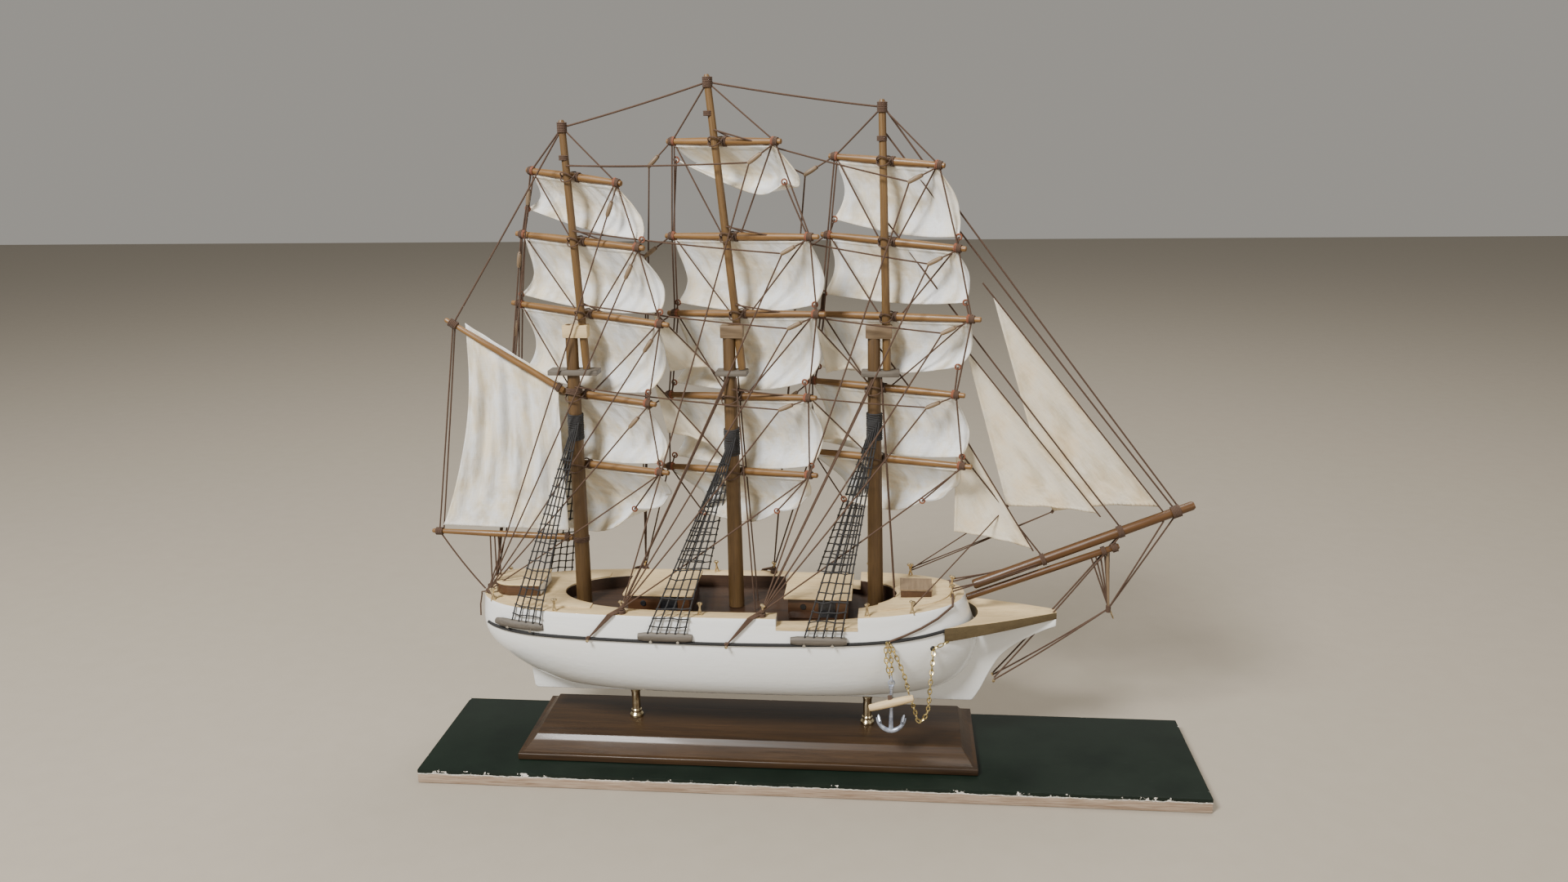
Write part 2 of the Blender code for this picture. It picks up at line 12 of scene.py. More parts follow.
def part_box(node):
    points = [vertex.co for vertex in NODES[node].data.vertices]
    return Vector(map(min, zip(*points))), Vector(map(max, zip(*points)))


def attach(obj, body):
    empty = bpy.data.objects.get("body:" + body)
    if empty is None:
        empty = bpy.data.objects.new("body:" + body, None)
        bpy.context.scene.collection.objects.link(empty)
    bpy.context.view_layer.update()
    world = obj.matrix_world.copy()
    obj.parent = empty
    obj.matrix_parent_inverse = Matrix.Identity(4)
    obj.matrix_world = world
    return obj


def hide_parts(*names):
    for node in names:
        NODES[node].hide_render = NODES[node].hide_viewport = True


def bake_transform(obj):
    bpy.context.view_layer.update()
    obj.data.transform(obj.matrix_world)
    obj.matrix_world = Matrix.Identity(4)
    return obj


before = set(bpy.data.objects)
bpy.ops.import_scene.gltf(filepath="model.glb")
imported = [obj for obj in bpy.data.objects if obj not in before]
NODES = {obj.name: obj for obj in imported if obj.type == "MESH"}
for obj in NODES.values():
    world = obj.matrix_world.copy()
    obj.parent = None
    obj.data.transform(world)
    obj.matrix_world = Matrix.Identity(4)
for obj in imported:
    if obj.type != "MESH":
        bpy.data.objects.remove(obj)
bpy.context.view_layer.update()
MASTS = ("mizzen", "main", "fore")
TIERS = ("royal", "topgallant", "upper_topsail", "lower_topsail", "course")
SIDES = ((-1, "starboard"), (1, "port"))  # as a sign of y
UP = Vector((0, 0, 1))
THREAD = 0.00055
CAP_TOP_Z = 0.2972  # the lower masts end here, and only the topmasts go on
CAP_AFT = 0.0051  # from a cap's aft face to the lower mast's axis
random.seed(7)


# Meshes


def link(name, mesh):
    obj = bpy.data.objects.new(name, mesh)
    bpy.context.scene.collection.objects.link(obj)
    return obj


def finish_mesh(name, bm, finish=None, sharp=35):
    bmesh.ops.recalc_face_normals(bm, faces=bm.faces)
    mesh = bpy.data.meshes.new(name)
    bm.to_mesh(mesh)
    bm.free()
    mesh.shade_smooth()
    mesh.set_sharp_from_angle(angle=math.radians(sharp))
    obj = link(name, mesh)
    if finish:
        mesh.materials.append(finish)
    return obj


def fit(piece, body, node=None):
    """Gives a piece its body, and hides the CAD node that it stands for."""
    if node:
        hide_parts(node)
    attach(piece, body)


def grain(obj, axis=(1, 0, 0)):
    """Stores each point's place along and across the grain, in metres, for the wood materials."""
    along = Vector(axis).normalized()
    side = along.orthogonal().normalized()
    across = along.cross(side)
    move = Vector([random.uniform(-1, 1) for _ in range(3)])
    attribute = obj.data.attributes.new("grain", "FLOAT_VECTOR", "POINT")
    values = []
    for vertex in obj.data.vertices:
        co = vertex.co
        values += [co.dot(side) + move.x, co.dot(across) + move.y, co.dot(along) + move.z]
    attribute.data.foreach_set("vector", values)
    return obj


def add_tube(bm, points, radii, sides=8, layer=None):
    """A tube along points into bm; layer, if given, gets (cos, sin, length so far) for the twist of a thread."""
    points = [Vector(p) for p in points]
    if not hasattr(radii, "__len__"):
        radii = [radii] * len(points)
    tangent = (points[1] - points[0]).normalized()
    normal = tangent.orthogonal().normalized()
    rings, run = [], 0.0
    for i, point in enumerate(points):
        ahead = points[min(i + 1, len(points) - 1)] - points[max(i - 1, 0)]
        new_tangent = ahead.normalized() if ahead.length > 1e-9 else tangent
        normal = (normal - new_tangent * normal.dot(new_tangent)).normalized()
        tangent = new_tangent
        binormal = tangent.cross(normal)
        if i:
            run += (point - points[i - 1]).length
        ring = []
        for k in range(sides):
            angle = 2 * math.pi * k / sides
            c, s = math.cos(angle), math.sin(angle)
            vertex = bm.verts.new(point + (normal * c + binormal * s) * radii[i])
            if layer is not None:
                vertex[layer] = Vector((c, s, run))
            ring.append(vertex)
        rings.append(ring)
    for a, b in zip(rings, rings[1:]):
        for k in range(sides):
            j = (k + 1) % sides
            bm.faces.new((a[k], a[j], b[j], b[k]))
    bm.faces.new(list(reversed(rings[0])))
    bm.faces.new(rings[-1])


def add_ring(bm, centre, axis, radius, thick, around=16, sides=6, layer=None):
    """A closed ring of round section."""
    axis = Vector(axis).normalized()
    side = axis.orthogonal().normalized()
    across = axis.cross(side)
    rings = []
    for i in range(around):
        a = 2 * math.pi * i / around
        spoke = side * math.cos(a) + across * math.sin(a)
        ring = []
        for k in range(sides):
            b = 2 * math.pi * k / sides
            out, up = spoke * (radius + thick * math.cos(b)), axis * (thick * math.sin(b))
            vertex = bm.verts.new(Vector(centre) + out + up)
            if layer is not None:
                vertex[layer] = Vector((math.cos(b), math.sin(b), a * radius))
            ring.append(vertex)
        rings.append(ring)
    for i in range(around):
        a, b = rings[i], rings[(i + 1) % around]
        for k in range(sides):
            j = (k + 1) % sides
            bm.faces.new((a[k], a[j], b[j], b[k]))


def add_box(bm, low, high, bevel=0.0):
    size = Vector(high) - Vector(low)
    middle = (Vector(high) + Vector(low)) / 2
    made = bmesh.ops.create_cube(bm, size=1, matrix=Matrix.Translation(middle) @ Matrix.Diagonal((*size, 1)))
    if bevel:
        edges = list({e for v in made["verts"] for e in v.link_edges})
        bmesh.ops.bevel(bm, geom=edges, offset=bevel, segments=2, affect="EDGES", profile=0.6)


def rod(name, start, end, profile, finish, sides=24):
    """A turned rod with its grain along it; profile lists (share of the length, radius)."""
    start, end = Vector(start), Vector(end)
    bm = bmesh.new()
    add_tube(bm, [start.lerp(end, share) for share, _ in profile], [r for _, r in profile], sides)
    return grain(finish_mesh(name, bm, finish), end - start)


def axis_of(node):
    """The two ends of a CAD rod's axis, in either order, and its greatest radius, from its mesh."""
    co = np.array([v.co for v in NODES[node].data.vertices])
    middle = co.mean(0)
    _, _, turn = np.linalg.svd(co - middle, full_matrices=False)
    along = (co - middle) @ turn[0]
    ends = []
    for value in (along.min(), along.max()):
        near = co[abs(along - value) < 0.0008]
        ends.append(near.mean(0))
    off = np.linalg.norm((co - middle) - np.outer(along, turn[0]), axis=1)
    return Vector(ends[0]), Vector(ends[1]), float(off.max())


# Materials


class Nodes:
    """Builds one material's node tree."""

    def __init__(self, name):
        self.material = bpy.data.materials.new(name)
        self.material.use_nodes = True
        self.tree = self.material.node_tree
        self.shader = self.tree.nodes["Principled BSDF"]

    def put(self, target, value):
        if isinstance(value, bpy.types.NodeSocket):
            self.tree.links.new(value, target)
        else:
            target.default_value = value

    def node(self, kind, **inputs):
        made = self.tree.nodes.new(kind)
        for key, value in inputs.items():
            if key.startswith("set_"):
                setattr(made, key[4:], value)
            else:
                self.put(made.inputs[key.replace("_", " ")], value)
        return made

    def math(self, operation, a, b=0.0):
        made = self.tree.nodes.new("ShaderNodeMath")
        made.operation = operation
        for target, value in zip(made.inputs, (a, b)):
            self.put(target, value)
        return made.outputs[0]

    def plus(self, a, b):
        return self.math("ADD", a, b)

    def times(self, a, b):
        return self.math("MULTIPLY", a, b)

    def coords(self, attribute=None, scale=(1, 1, 1)):
        if attribute:
            source = self.node("ShaderNodeAttribute", set_attribute_name=attribute).outputs["Vector"]
        else:
            source = self.tree.nodes.new("ShaderNodeTexCoord").outputs["Object"]
        return self.node("ShaderNodeMapping", Vector=source, Scale=scale).outputs[0]

    def noise(self, vector, scale, detail=3.0, rough=0.5, distortion=0.0):
        made = self.node(
            "ShaderNodeTexNoise", Vector=vector, Scale=scale, Detail=detail, Roughness=rough, Distortion=distortion
        )
        return made.outputs["Fac"]

    def ramp(self, factor, stops):
        made = self.node("ShaderNodeValToRGB", Fac=factor)
        elements = made.color_ramp.elements
        while len(elements) < len(stops):
            elements.new(0.5)
        for element, (place, colour) in zip(elements, stops):
            element.position = place
            colour = (colour,) * 3 if isinstance(colour, (int, float)) else colour
            element.color = (*colour, 1)
        return made.outputs["Color"]

    def mix(self, factor, a, b, blend="MIX"):
        made = self.node("ShaderNodeMix", set_data_type="RGBA", set_blend_type=blend)
        for key, value in (("Factor_Float", factor), ("A_Color", a), ("B_Color", b)):
            target = next(s for s in made.inputs if s.identifier == key)
            self.put(target, (*value, 1) if isinstance(value, tuple) and len(value) == 3 else value)
        return next(s for s in made.outputs if s.identifier == "Result_Color")

    def bump(self, height, strength, distance):
        return self.node("ShaderNodeBump", Height=height, Strength=strength, Distance=distance).outputs[0]

    def done(self, **inputs):
        for key, value in inputs.items():
            value = (*value, 1) if isinstance(value, tuple) and len(value) == 3 else value
            self.put(self.shader.inputs[key.replace("_", " ")], value)
        return self.material


def wood(name, dark, light, rough=0.5, coat=0.0, fine=1.0, contrast=1.0, depth=1.0):
    """Wood with streaks along the grain attribute, pores and a slow change of tone."""
    n = Nodes(name)
    streak = n.noise(n.coords("grain", (900 * fine, 900 * fine, 35 * fine)), 1.0, 4, 0.65)
    rings = n.noise(n.coords("grain", (220 * fine, 220 * fine, 9 * fine)), 1.0, 3, 0.6, 0.6)
    slow = n.noise(n.coords("grain", (30, 30, 12)), 1.0, 2, 0.5)
    pores = n.noise(n.coords("grain", (2600 * fine, 2600 * fine, 120 * fine)), 1.0, 2, 0.5)
    blend = n.plus(n.times(streak, 0.45), n.times(rings, 0.55))
    spread = 0.20 / contrast
    tone = n.ramp(blend, ((0.5 - spread, dark), (0.5 + spread, light)))
    tone = n.mix(n.times(slow, 0.55), tone, tuple(c * 0.62 for c in dark), "MIX")
    pore = n.ramp(pores, ((0.33, 0.55), (0.46, 1.0)))
    tone = n.mix(0.6, tone, n.mix(1.0, tone, pore, "MULTIPLY"))
    roughness = n.node("ShaderNodeMapRange", Value=streak, To_Min=rough - 0.08, To_Max=rough + 0.12).outputs[0]
    height = n.plus(n.times(streak, 0.6), n.times(pores, 0.4))
    return n.done(
        Base_Color=tone, Roughness=roughness, Coat_Weight=coat, Coat_Roughness=0.12,
        Normal=n.bump(height, 0.35 * depth, 0.0003),
    )


def thread_material(name, dark, light, pitch=0.0011):
    """Laid thread: a twist of strands worked out from the tube's own angle and length, with stray fibres."""
    n = Nodes(name)
    lay = n.node("ShaderNodeAttribute", set_attribute_name="lay").outputs["Vector"]
    split = n.node("ShaderNodeSeparateXYZ", Vector=lay).outputs
    phase = n.times(split[2], 2 * math.pi / pitch)
    strand = n.plus(n.times(split[0], n.math("COSINE", phase)), n.times(split[1], n.math("SINE", phase)))
    strand = n.math("ABSOLUTE", strand)
    fuzz = n.noise(n.coords(None, (1, 1, 1)), 900, 3, 0.6)
    tone = n.ramp(n.plus(n.times(strand, 0.7), n.times(fuzz, 0.4)), ((0.15, dark), (0.9, light)))
    return n.done(
        Base_Color=tone, Roughness=0.78, Sheen_Weight=0.05, Sheen_Roughness=0.5,
        Normal=n.bump(n.plus(strand, n.times(fuzz, 0.3)), 0.8, 0.0002),
    )


def cotton_material(name, warm=(0.93, 0.82, 0.60), cool=(0.92, 0.94, 0.95)):
    """Thin cotton: an over-and-under weave on the cloth's own flat coordinates, slubs, patches of painted light,
    painted shade in its creases, and light through it.
    """
    n = Nodes(name)
    flat = n.node("ShaderNodeAttribute", set_attribute_name="cloth").outputs["Vector"]
    split = n.node("ShaderNodeSeparateXYZ", Vector=flat).outputs
    pitch = 2 * math.pi / 0.00055
    warp = n.math("SINE", n.times(split[0], pitch))
    weft = n.math("SINE", n.times(split[1], pitch))
    weave = n.times(warp, weft)
    slub_u = n.noise(n.node("ShaderNodeMapping", Vector=flat, Scale=(2600, 90, 1)).outputs[0], 1.0, 2)
    slub_v = n.noise(n.node("ShaderNodeMapping", Vector=flat, Scale=(90, 2600, 1)).outputs[0], 1.0, 2)
    slubs = n.plus(n.times(slub_u, 0.5), n.times(slub_v, 0.5))
    # Partly painted light: random patches between the warm colour, the cloth's own cream, and the cool colour, a
    # painted tint of the window's light.
    cream_and_window_light_patches = n.noise(n.node("ShaderNodeMapping", Vector=flat, Scale=(60, 30, 45)).outputs[0], 1.0, 4, 0.6)
    tone = n.mix(n.ramp(cream_and_window_light_patches, ((0.36, 0.15), (0.60, 1.0))), warm, cool)
    tone = n.mix(0.55, tone, n.mix(1.0, tone, n.ramp(slubs, ((0.35, 0.80), (0.6, 1.0))), "MULTIPLY"))
    creases_and_fold_shade = n.noise(n.node("ShaderNodeMapping", Vector=flat, Scale=(95, 34, 60)).outputs[0], 1.0, 4, 0.55)
    # Painted shade: the cloth is darkened towards a warm grey where the crease noise is low, as shade in the folds;
    # the same noise also bumps the creases below.
    tone = n.mix(1.0, tone, n.ramp(creases_and_fold_shade, ((0.34, (0.80, 0.76, 0.68)), (0.52, (1.0, 1.0, 1.0)))), "MULTIPLY")
    height = n.plus(n.times(weave, 0.35), n.plus(slubs, n.times(creases_and_fold_shade, 22.0)))
    cloth = n.done(
        Base_Color=tone, Roughness=0.88, Sheen_Weight=0.15, Sheen_Roughness=0.6,
        Normal=n.bump(height, 0.45, 0.00025),
    )
    through = n.node("ShaderNodeBsdfTranslucent", Color=tone)
    mixed = n.node("ShaderNodeMixShader", Fac=0.22)
    n.tree.links.new(n.shader.outputs[0], mixed.inputs[1])
    n.tree.links.new(through.outputs[0], mixed.inputs[2])
    output = next(node for node in n.tree.nodes if node.type == "OUTPUT_MATERIAL")
    n.tree.links.new(mixed.outputs[0], output.inputs[0])
    return cloth


def white_paint():
    """Brushed gloss enamel: soft brush marks along the hull, small runs, and a faint yellowing."""
    n = Nodes("white_gloss_paint")
    brush = n.noise(n.coords(None, (40, 700, 900)), 1.0, 3, 0.6)
    dimple = n.noise(n.coords(), 260, 2, 0.5)
    stain = n.noise(n.coords(None, (9, 30, 40)), 1.0, 4, 0.6)
    tone = n.mix(n.ramp(stain, ((0.45, 0.0), (0.75, 0.5))), (0.80, 0.82, 0.82), (0.74, 0.73, 0.66))
    return n.done(
        Base_Color=tone, Roughness=n.node("ShaderNodeMapRange", Value=brush, To_Min=0.16, To_Max=0.32).outputs[0],
        Coat_Weight=0.6, Coat_Roughness=0.08,
        Normal=n.bump(n.plus(n.times(brush, 0.5), dimple), 0.22, 0.0006),
    )


def metal(name, colour, dull, rough=0.25, metallic=1.0):
    n = Nodes(name)
    spots = n.noise(n.coords(), 420, 4, 0.6)
    tone = n.mix(n.ramp(spots, ((0.42, 0.0), (0.70, 1.0))), colour, dull)
    roughness = n.node("ShaderNodeMapRange", Value=spots, To_Min=rough * 0.7, To_Max=rough * 1.7).outputs[0]
    return n.done(Base_Color=tone, Metallic=metallic, Roughness=roughness, Normal=n.bump(spots, 0.15, 0.0002))


def black_paint(name, rough=0.35):
    n = Nodes(name)
    spots = n.noise(n.coords(), 500, 3)
    tone = n.ramp(spots, ((0.3, (0.006, 0.006, 0.007)), (0.8, (0.022, 0.022, 0.024))))
    return n.done(Base_Color=tone, Roughness=rough, Normal=n.bump(spots, 0.3, 0.0002))


def board_material(low, high):
    """Dark green coated board whose rim is chipped to a pale core, with a bare, raw edge below."""
    n = Nodes("green_board_coating")
    place = n.tree.nodes.new("ShaderNodeTexCoord").outputs["Object"]
    split = n.node("ShaderNodeSeparateXYZ", Vector=place).outputs
    half_x = (high.x - low.x) / 2
    half_y = (high.y - low.y) / 2
    middle_y = (high.y + low.y) / 2
    edge_x = n.math("SUBTRACT", half_x, n.math("ABSOLUTE", split[0]))
    edge_y = n.math("SUBTRACT", half_y, n.math("ABSOLUTE", n.math("SUBTRACT", split[1], middle_y)))
    inside = n.math("MINIMUM", edge_x, edge_y)
    ragged = n.noise(n.coords(None, (1, 1, 1)), 130, 5, 0.7)
    reach = n.math("SUBTRACT", n.times(n.math("POWER", ragged, 10.0), 0.08), 0.0005)
    chip = n.math("LESS_THAN", inside, reach)
    cloud = n.noise(n.coords(), 26, 4, 0.6)
    green = n.ramp(cloud, ((0.3, (0.0022, 0.0065, 0.0040)), (0.75, (0.0065, 0.0135, 0.0085))))
    scratch = n.ramp(n.noise(n.coords(None, (60, 1500, 60)), 1.0, 2), ((0.72, 0.0), (0.80, 0.35)))
    green = n.mix(scratch, green, (0.07, 0.09, 0.08))
    core = n.ramp(n.noise(n.coords(), 900, 3), ((0.3, (0.45, 0.42, 0.36)), (0.8, (0.75, 0.73, 0.68))))
    tone = n.mix(chip, green, core)
    fibre = n.noise(n.coords(None, (60, 60, 1400)), 1.0, 3, 0.6)
    raw = n.ramp(fibre, ((0.3, (0.22, 0.15, 0.10)), (0.7, (0.42, 0.33, 0.25))))
    ragged_line = n.plus(high.z * 0.72, n.times(n.math("SUBTRACT", ragged, 0.5), 0.0030))
    low_down = n.math("LESS_THAN", split[2], ragged_line)
    pale_line = n.math("LESS_THAN", n.math("ABSOLUTE", n.math("SUBTRACT", split[2], ragged_line)), 0.00035)
    tone = n.mix(pale_line, n.mix(low_down, tone, raw), core)
    matt = n.math("MAXIMUM", chip, low_down)
    rough = n.plus(n.times(matt, 0.4), n.plus(0.36, n.times(cloud, 0.15)))
    height = n.math("SUBTRACT", n.times(ragged, 0.2), n.times(matt, 0.6))
    return n.done(Base_Color=tone, Roughness=rough, Specular_IOR_Level=0.28, Normal=n.bump(height, 0.5, 0.0006))


MAST_WOOD = wood("mast_wood_stain", (0.068, 0.034, 0.0105), (0.162, 0.093, 0.0320), 0.52)
YARD_WOOD = wood("yard_wood_stain", (0.122, 0.056, 0.0135), (0.315, 0.168, 0.052), 0.46, coat=0.08)
BOW_WOOD = wood("bowsprit_stain", (0.048, 0.0175, 0.0030), (0.145, 0.063, 0.0130), 0.42, coat=0.12)
PALE_WOOD = wood("bare_pale_wood", (0.52, 0.365, 0.175), (0.83, 0.67, 0.40), 0.55, contrast=0.8)
DARK_WOOD = wood("dark_stained_wood", (0.038, 0.0150, 0.0055), (0.110, 0.048, 0.0185), 0.42, coat=0.25)
TAN_WOOD = wood("head_rail_wood", (0.072, 0.049, 0.0185), (0.140, 0.100, 0.045), 0.55)
GREY_WOOD = wood("channel_wood", (0.080, 0.068, 0.054), (0.19, 0.165, 0.135), 0.60)
WALNUT = wood("walnut_varnish", (0.0145, 0.0065, 0.0020), (0.070, 0.034, 0.0105), 0.46, coat=0.12, fine=0.6)
COTTON = cotton_material("sail_cotton_cloth")
PAINT = white_paint()
BRASS = metal("bright_brass", (0.80, 0.70, 0.48), (0.56, 0.45, 0.26), 0.16)
NAIL_BRASS = metal("nail_brass", (0.74, 0.62, 0.40), (0.34, 0.25, 0.14), 0.28)
IRON = metal("anchor_grey_metal", (0.46, 0.51, 0.62), (0.20, 0.22, 0.28), 0.36, 0.75)
CHAIN = metal("gilt_chain", (0.80, 0.66, 0.32), (0.16, 0.12, 0.06), 0.22)
BLACK = black_paint("black_paint")
RIG = thread_material("rigging_thread_brown", (0.020, 0.010, 0.006), (0.105, 0.055, 0.030))
RED_TIE = thread_material("sail_tie_thread", (0.09, 0.022, 0.010), (0.30, 0.10, 0.045))
STEEL = metal("nail_steel", (0.75, 0.73, 0.68), (0.40, 0.38, 0.34), 0.28)
NET = thread_material("ratline_thread_black", (0.006, 0.006, 0.007), (0.030, 0.029, 0.030))
STAY_COTTON = cotton_material("staysail_cotton_cloth", (0.93, 0.78, 0.52), (0.94, 0.88, 0.74))
TOPMAST_WOOD = wood("topmast_wood_stain", (0.092, 0.046, 0.0130), (0.225, 0.130, 0.044), 0.48)
WELL_STAIN = wood("well_dark_stain", (0.021, 0.0085, 0.0038), (0.070, 0.033, 0.0140), 0.44, coat=0.3)
BLACK_CORD = thread_material("black_side_cord", (0.003, 0.003, 0.003), (0.014, 0.014, 0.015), 0.0022)
TOGGLE = wood("toggle_wood", (0.14, 0.092, 0.05), (0.30, 0.215, 0.13), 0.5)


# Lines of the rig, from the CAD solids


def upward(node):
    a, b, _ = axis_of(node)
    return (a, b) if a.z < b.z else (b, a)


def lower_mast_line(mast):
    """The lower mast's axis: the middle of its foot, and the point at its head, set in from the cap's aft face."""
    co = np.array([v.co for v in NODES[f"{mast}_lower_mast"].data.vertices])
    foot = co[co[:, 2] < co[:, 2].min() + 0.001]
    head = co[co[:, 2] > co[:, 2].max() - 0.0002]
    return Vector(foot.mean(0)), Vector((head[:, 0].min() + CAP_AFT, 0, head[:, 2].max()))


def port_first(node):
    a, b, _ = axis_of(node)
    return (a, b) if a.y > b.y else (b, a)


MAST_LINES = {m: {"lower": lower_mast_line(m), "top": upward(f"{m}_topmast")} for m in MASTS}
YARD_LINES = {(m, t): port_first(f"{m}_{t}_yard") for m in MASTS for t in TIERS}


def mast_point(mast, z, part=None):
    """The mast's axis at a height: the lower mast's up to its cap, the topmast's above."""
    part = part or ("lower" if z < CAP_TOP_Z else "top")
    foot, head = MAST_LINES[mast][part]
    return foot.lerp(head, (z - foot.z) / (head.z - foot.z))


def yard_middle(mast, tier):
    """The yard's nearest point to the mast's axis."""
    port, starboard = YARD_LINES[mast, tier]
    mast_axis = mast_point(mast, (port.z + starboard.z) / 2)
    along = (starboard - port).normalized()
    return port + along * (mast_axis - port).dot(along)


YARD_MIDDLES = {key: yard_middle(*key) for key in YARD_LINES}


# Camera, light and floor


def camera():
    """Looks down a little on the starboard side, from near the height of the mastheads."""
    yaw, pitch, roll = 0.0953, -0.2591, 0.0141
    data = bpy.data.cameras.new("camera")
    data.sensor_width = 36
    data.lens = 26.47125
    data.clip_start = 0.01
    made = link("camera", data)
    turn = Matrix.Rotation(yaw, 3, "Z") @ Matrix.Rotation(pitch, 3, "X") @ Matrix.Rotation(roll, 3, "Y")
    right, ahead, above = turn.col
    matrix = Matrix((right, above, -ahead)).transposed().to_4x4()
    matrix.translation = (0.0538, -0.7144, 0.4120)
    made.matrix_world = matrix
    bpy.context.scene.camera = made


def light(name, place, target, size, power, colour):
    data = bpy.data.lights.new(name, "AREA")
    data.shape = "DISK"
    data.size = size
    data.energy = power
    data.color = colour
    made = link(name, data)
    made.location = place
    made.rotation_euler = (Vector(target) - Vector(place)).to_track_quat("-Z", "Y").to_euler()


def studio():
    light("key", (-0.9, -1.3, 1.7), (0, 0, 0.2), 0.6, 86, (1.0, 0.98, 0.95))
    light("fill", (1.5, -1.2, 0.9), (0, 0, 0.2), 1.2, 11, (1.0, 0.91, 0.80))
    light("top", (0.3, 0.5, 1.9), (0, 0, 0.2), 1.0, 22, (1.0, 0.95, 0.87))
    world = bpy.data.worlds.new("studio")
    world.use_nodes = True
    world.node_tree.nodes["Background"].inputs[0].default_value = (0.84, 0.80, 0.73, 1)
    world.node_tree.nodes["Background"].inputs[1].default_value = 0.40
    bpy.context.scene.world = world
    bm = bmesh.new()
    bmesh.ops.create_grid(bm, x_segments=1, y_segments=1, size=4)
    n = Nodes("studio_floor")
    paper = n.noise(n.coords(), 60, 3)
    floor = finish_mesh(
        "floor", bm, n.done(Base_Color=n.mix(paper, (0.315, 0.280, 0.228), (0.340, 0.305, 0.252)), Roughness=0.75)
    )
    floor.location.z = -0.0002


# Base


def display_board():
    low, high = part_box("display_board")
    bm = bmesh.new()
    add_box(bm, low, high, 0.0006)
    made = finish_mesh("display_board_coated", bm, board_material(low, high))
    fit(made, "root", "display_board")


def plinth():
    """The stained block with its sloped faces: the CAD's own points, with every arris softened."""
    mesh = NODES["plinth"].data.copy()
    bm = bmesh.new()
    bm.from_mesh(mesh)
    bmesh.ops.remove_doubles(bm, verts=bm.verts, dist=0.00001)
    bmesh.ops.dissolve_limit(bm, angle_limit=math.radians(1), verts=bm.verts, edges=bm.edges)
    bmesh.ops.bevel(bm, geom=bm.edges[:], offset=0.0006, segments=3, affect="EDGES", profile=0.5)
    made = grain(finish_mesh("plinth_walnut_block", bm, WALNUT), (1, 0, 0))
    fit(made, "root", "plinth")


def posts():
    profile = (
        (0.000, 0.0045), (0.03, 0.0046), (0.08, 0.0046), (0.11, 0.0041), (0.15, 0.0034), (0.20, 0.0036),
        (0.24, 0.0036), (0.28, 0.0030), (0.60, 0.0029), (0.90, 0.0030), (0.93, 0.0034), (1.00, 0.0034),
    )
    for place in ("aft", "fore"):
        low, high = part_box(f"pedestal_post_{place}")
        x = (low.x + high.x) / 2
        made = rod(f"brass_post_{place}", (x, 0, low.z), (x, 0, high.z), profile, BRASS, 40)
        fit(made, "root", f"pedestal_post_{place}")


# Hull

# Waterlines from the bottom up: height, stern end, bow end, half breadth, fineness of the ends
WATERLINES = (
    (0.0500, -0.168, 0.062, 0.0120, 0.80),
    (0.0525, -0.175, 0.076, 0.0200, 0.74),
    (0.0570, -0.183, 0.092, 0.0285, 0.68),
    (0.0650, -0.196, 0.103, 0.0345, 0.62),
    (0.0750, -0.209, 0.109, 0.0385, 0.57),
    (0.0860, -0.2185, 0.112, 0.0410, 0.53),
    (0.0980, -0.2215, 0.110, 0.0420, 0.50),
    (0.1160, -0.2200, 0.103, 0.0420, 0.50),
)
DECK_Z = WATERLINES[-1][0]
MIDSHIP_X = -0.045
BOW_RISE, STERN_DROP = 0.0045, 0.0010
WELL_ENDS, WELL_HALF_WIDTH, WELL_FLOOR_Z = (-0.164, 0.059), 0.0322, 0.1073
GANGWAY_X, GANGWAY_Z = (-0.0175, 0.0345), 0.1107
HAWSE = (0.0820, 0.0940)  # the hawse hole's place along the ship, and its height
BARE_EDGE = 0.0022  # the unpainted edge of the gangway's sill
DECK_INSET = 0.0088  # from the ship's side to the raised decks
RAISED = 0.0009


def smooth_line(points, per_span):
    """A Catmull-Rom curve through the points, per_span steps to each span."""
    rows = np.array(points, float)
    padded = np.vstack([2 * rows[0] - rows[1], rows, 2 * rows[-1] - rows[-2]])
    made = []
    for i in range(1, len(padded) - 2):
        a, b, c, d = padded[i - 1:i + 3]
        for t in np.arange(per_span) / per_span:
            square, cube = (2 * a - 5 * b + 4 * c - d) * t**2, (3 * b - a - 3 * c + d) * t**3
            made.append(0.5 * (2 * b + (c - a) * t + square + cube))
    return np.array(made + [padded[-2]])


def sheer(x):
    if x > MIDSHIP_X:
        return BOW_RISE * ((x - MIDSHIP_X) / (WATERLINES[-1][2] - MIDSHIP_X)) ** 2
    return -STERN_DROP * ((MIDSHIP_X - x) / (MIDSHIP_X - WATERLINES[-1][1])) ** 2


def rise(z, x):
    bottom, top = WATERLINES[0][0], WATERLINES[-1][0]
    return max(0, (z - bottom) / (top - bottom)) ** 2 * sheer(x)


def oval(stern_x, bow_x, half_breadth, fineness, count, middle_x=MIDSHIP_X):
    points = []
    for i in range(count):
        angle = 2 * math.pi * i / count
        along = math.copysign(abs(math.cos(angle)) ** fineness, math.cos(angle))
        reach = bow_x - middle_x if along > 0 else middle_x - stern_x
        points.append((middle_x + along * reach, half_breadth * math.sin(angle)))
    return points


def hull_lines():
    return smooth_line(WATERLINES, 5)


def side_point(x, z, out=0.0):
    """The point on the starboard side of the hull at x and about height z, moved out from the skin."""
    lines = hull_lines()
    level = z - rise(z, x)
    row = [np.interp(level, lines[:, 0], lines[:, k]) for k in range(1, 5)]
    stern_x, bow_x, half, fineness = row
    reach = bow_x - MIDSHIP_X if x > MIDSHIP_X else MIDSHIP_X - stern_x
    share = min(0.9999, abs(x - MIDSHIP_X) / reach) ** (1 / fineness)
    return Vector((x, -half * math.sqrt(1 - share**2) - out, z))


def on_side(point, side):
    """A starboard point for side -1, or its mirror image to port for side 1."""
    return Vector((point.x, point.y * -side, point.z))


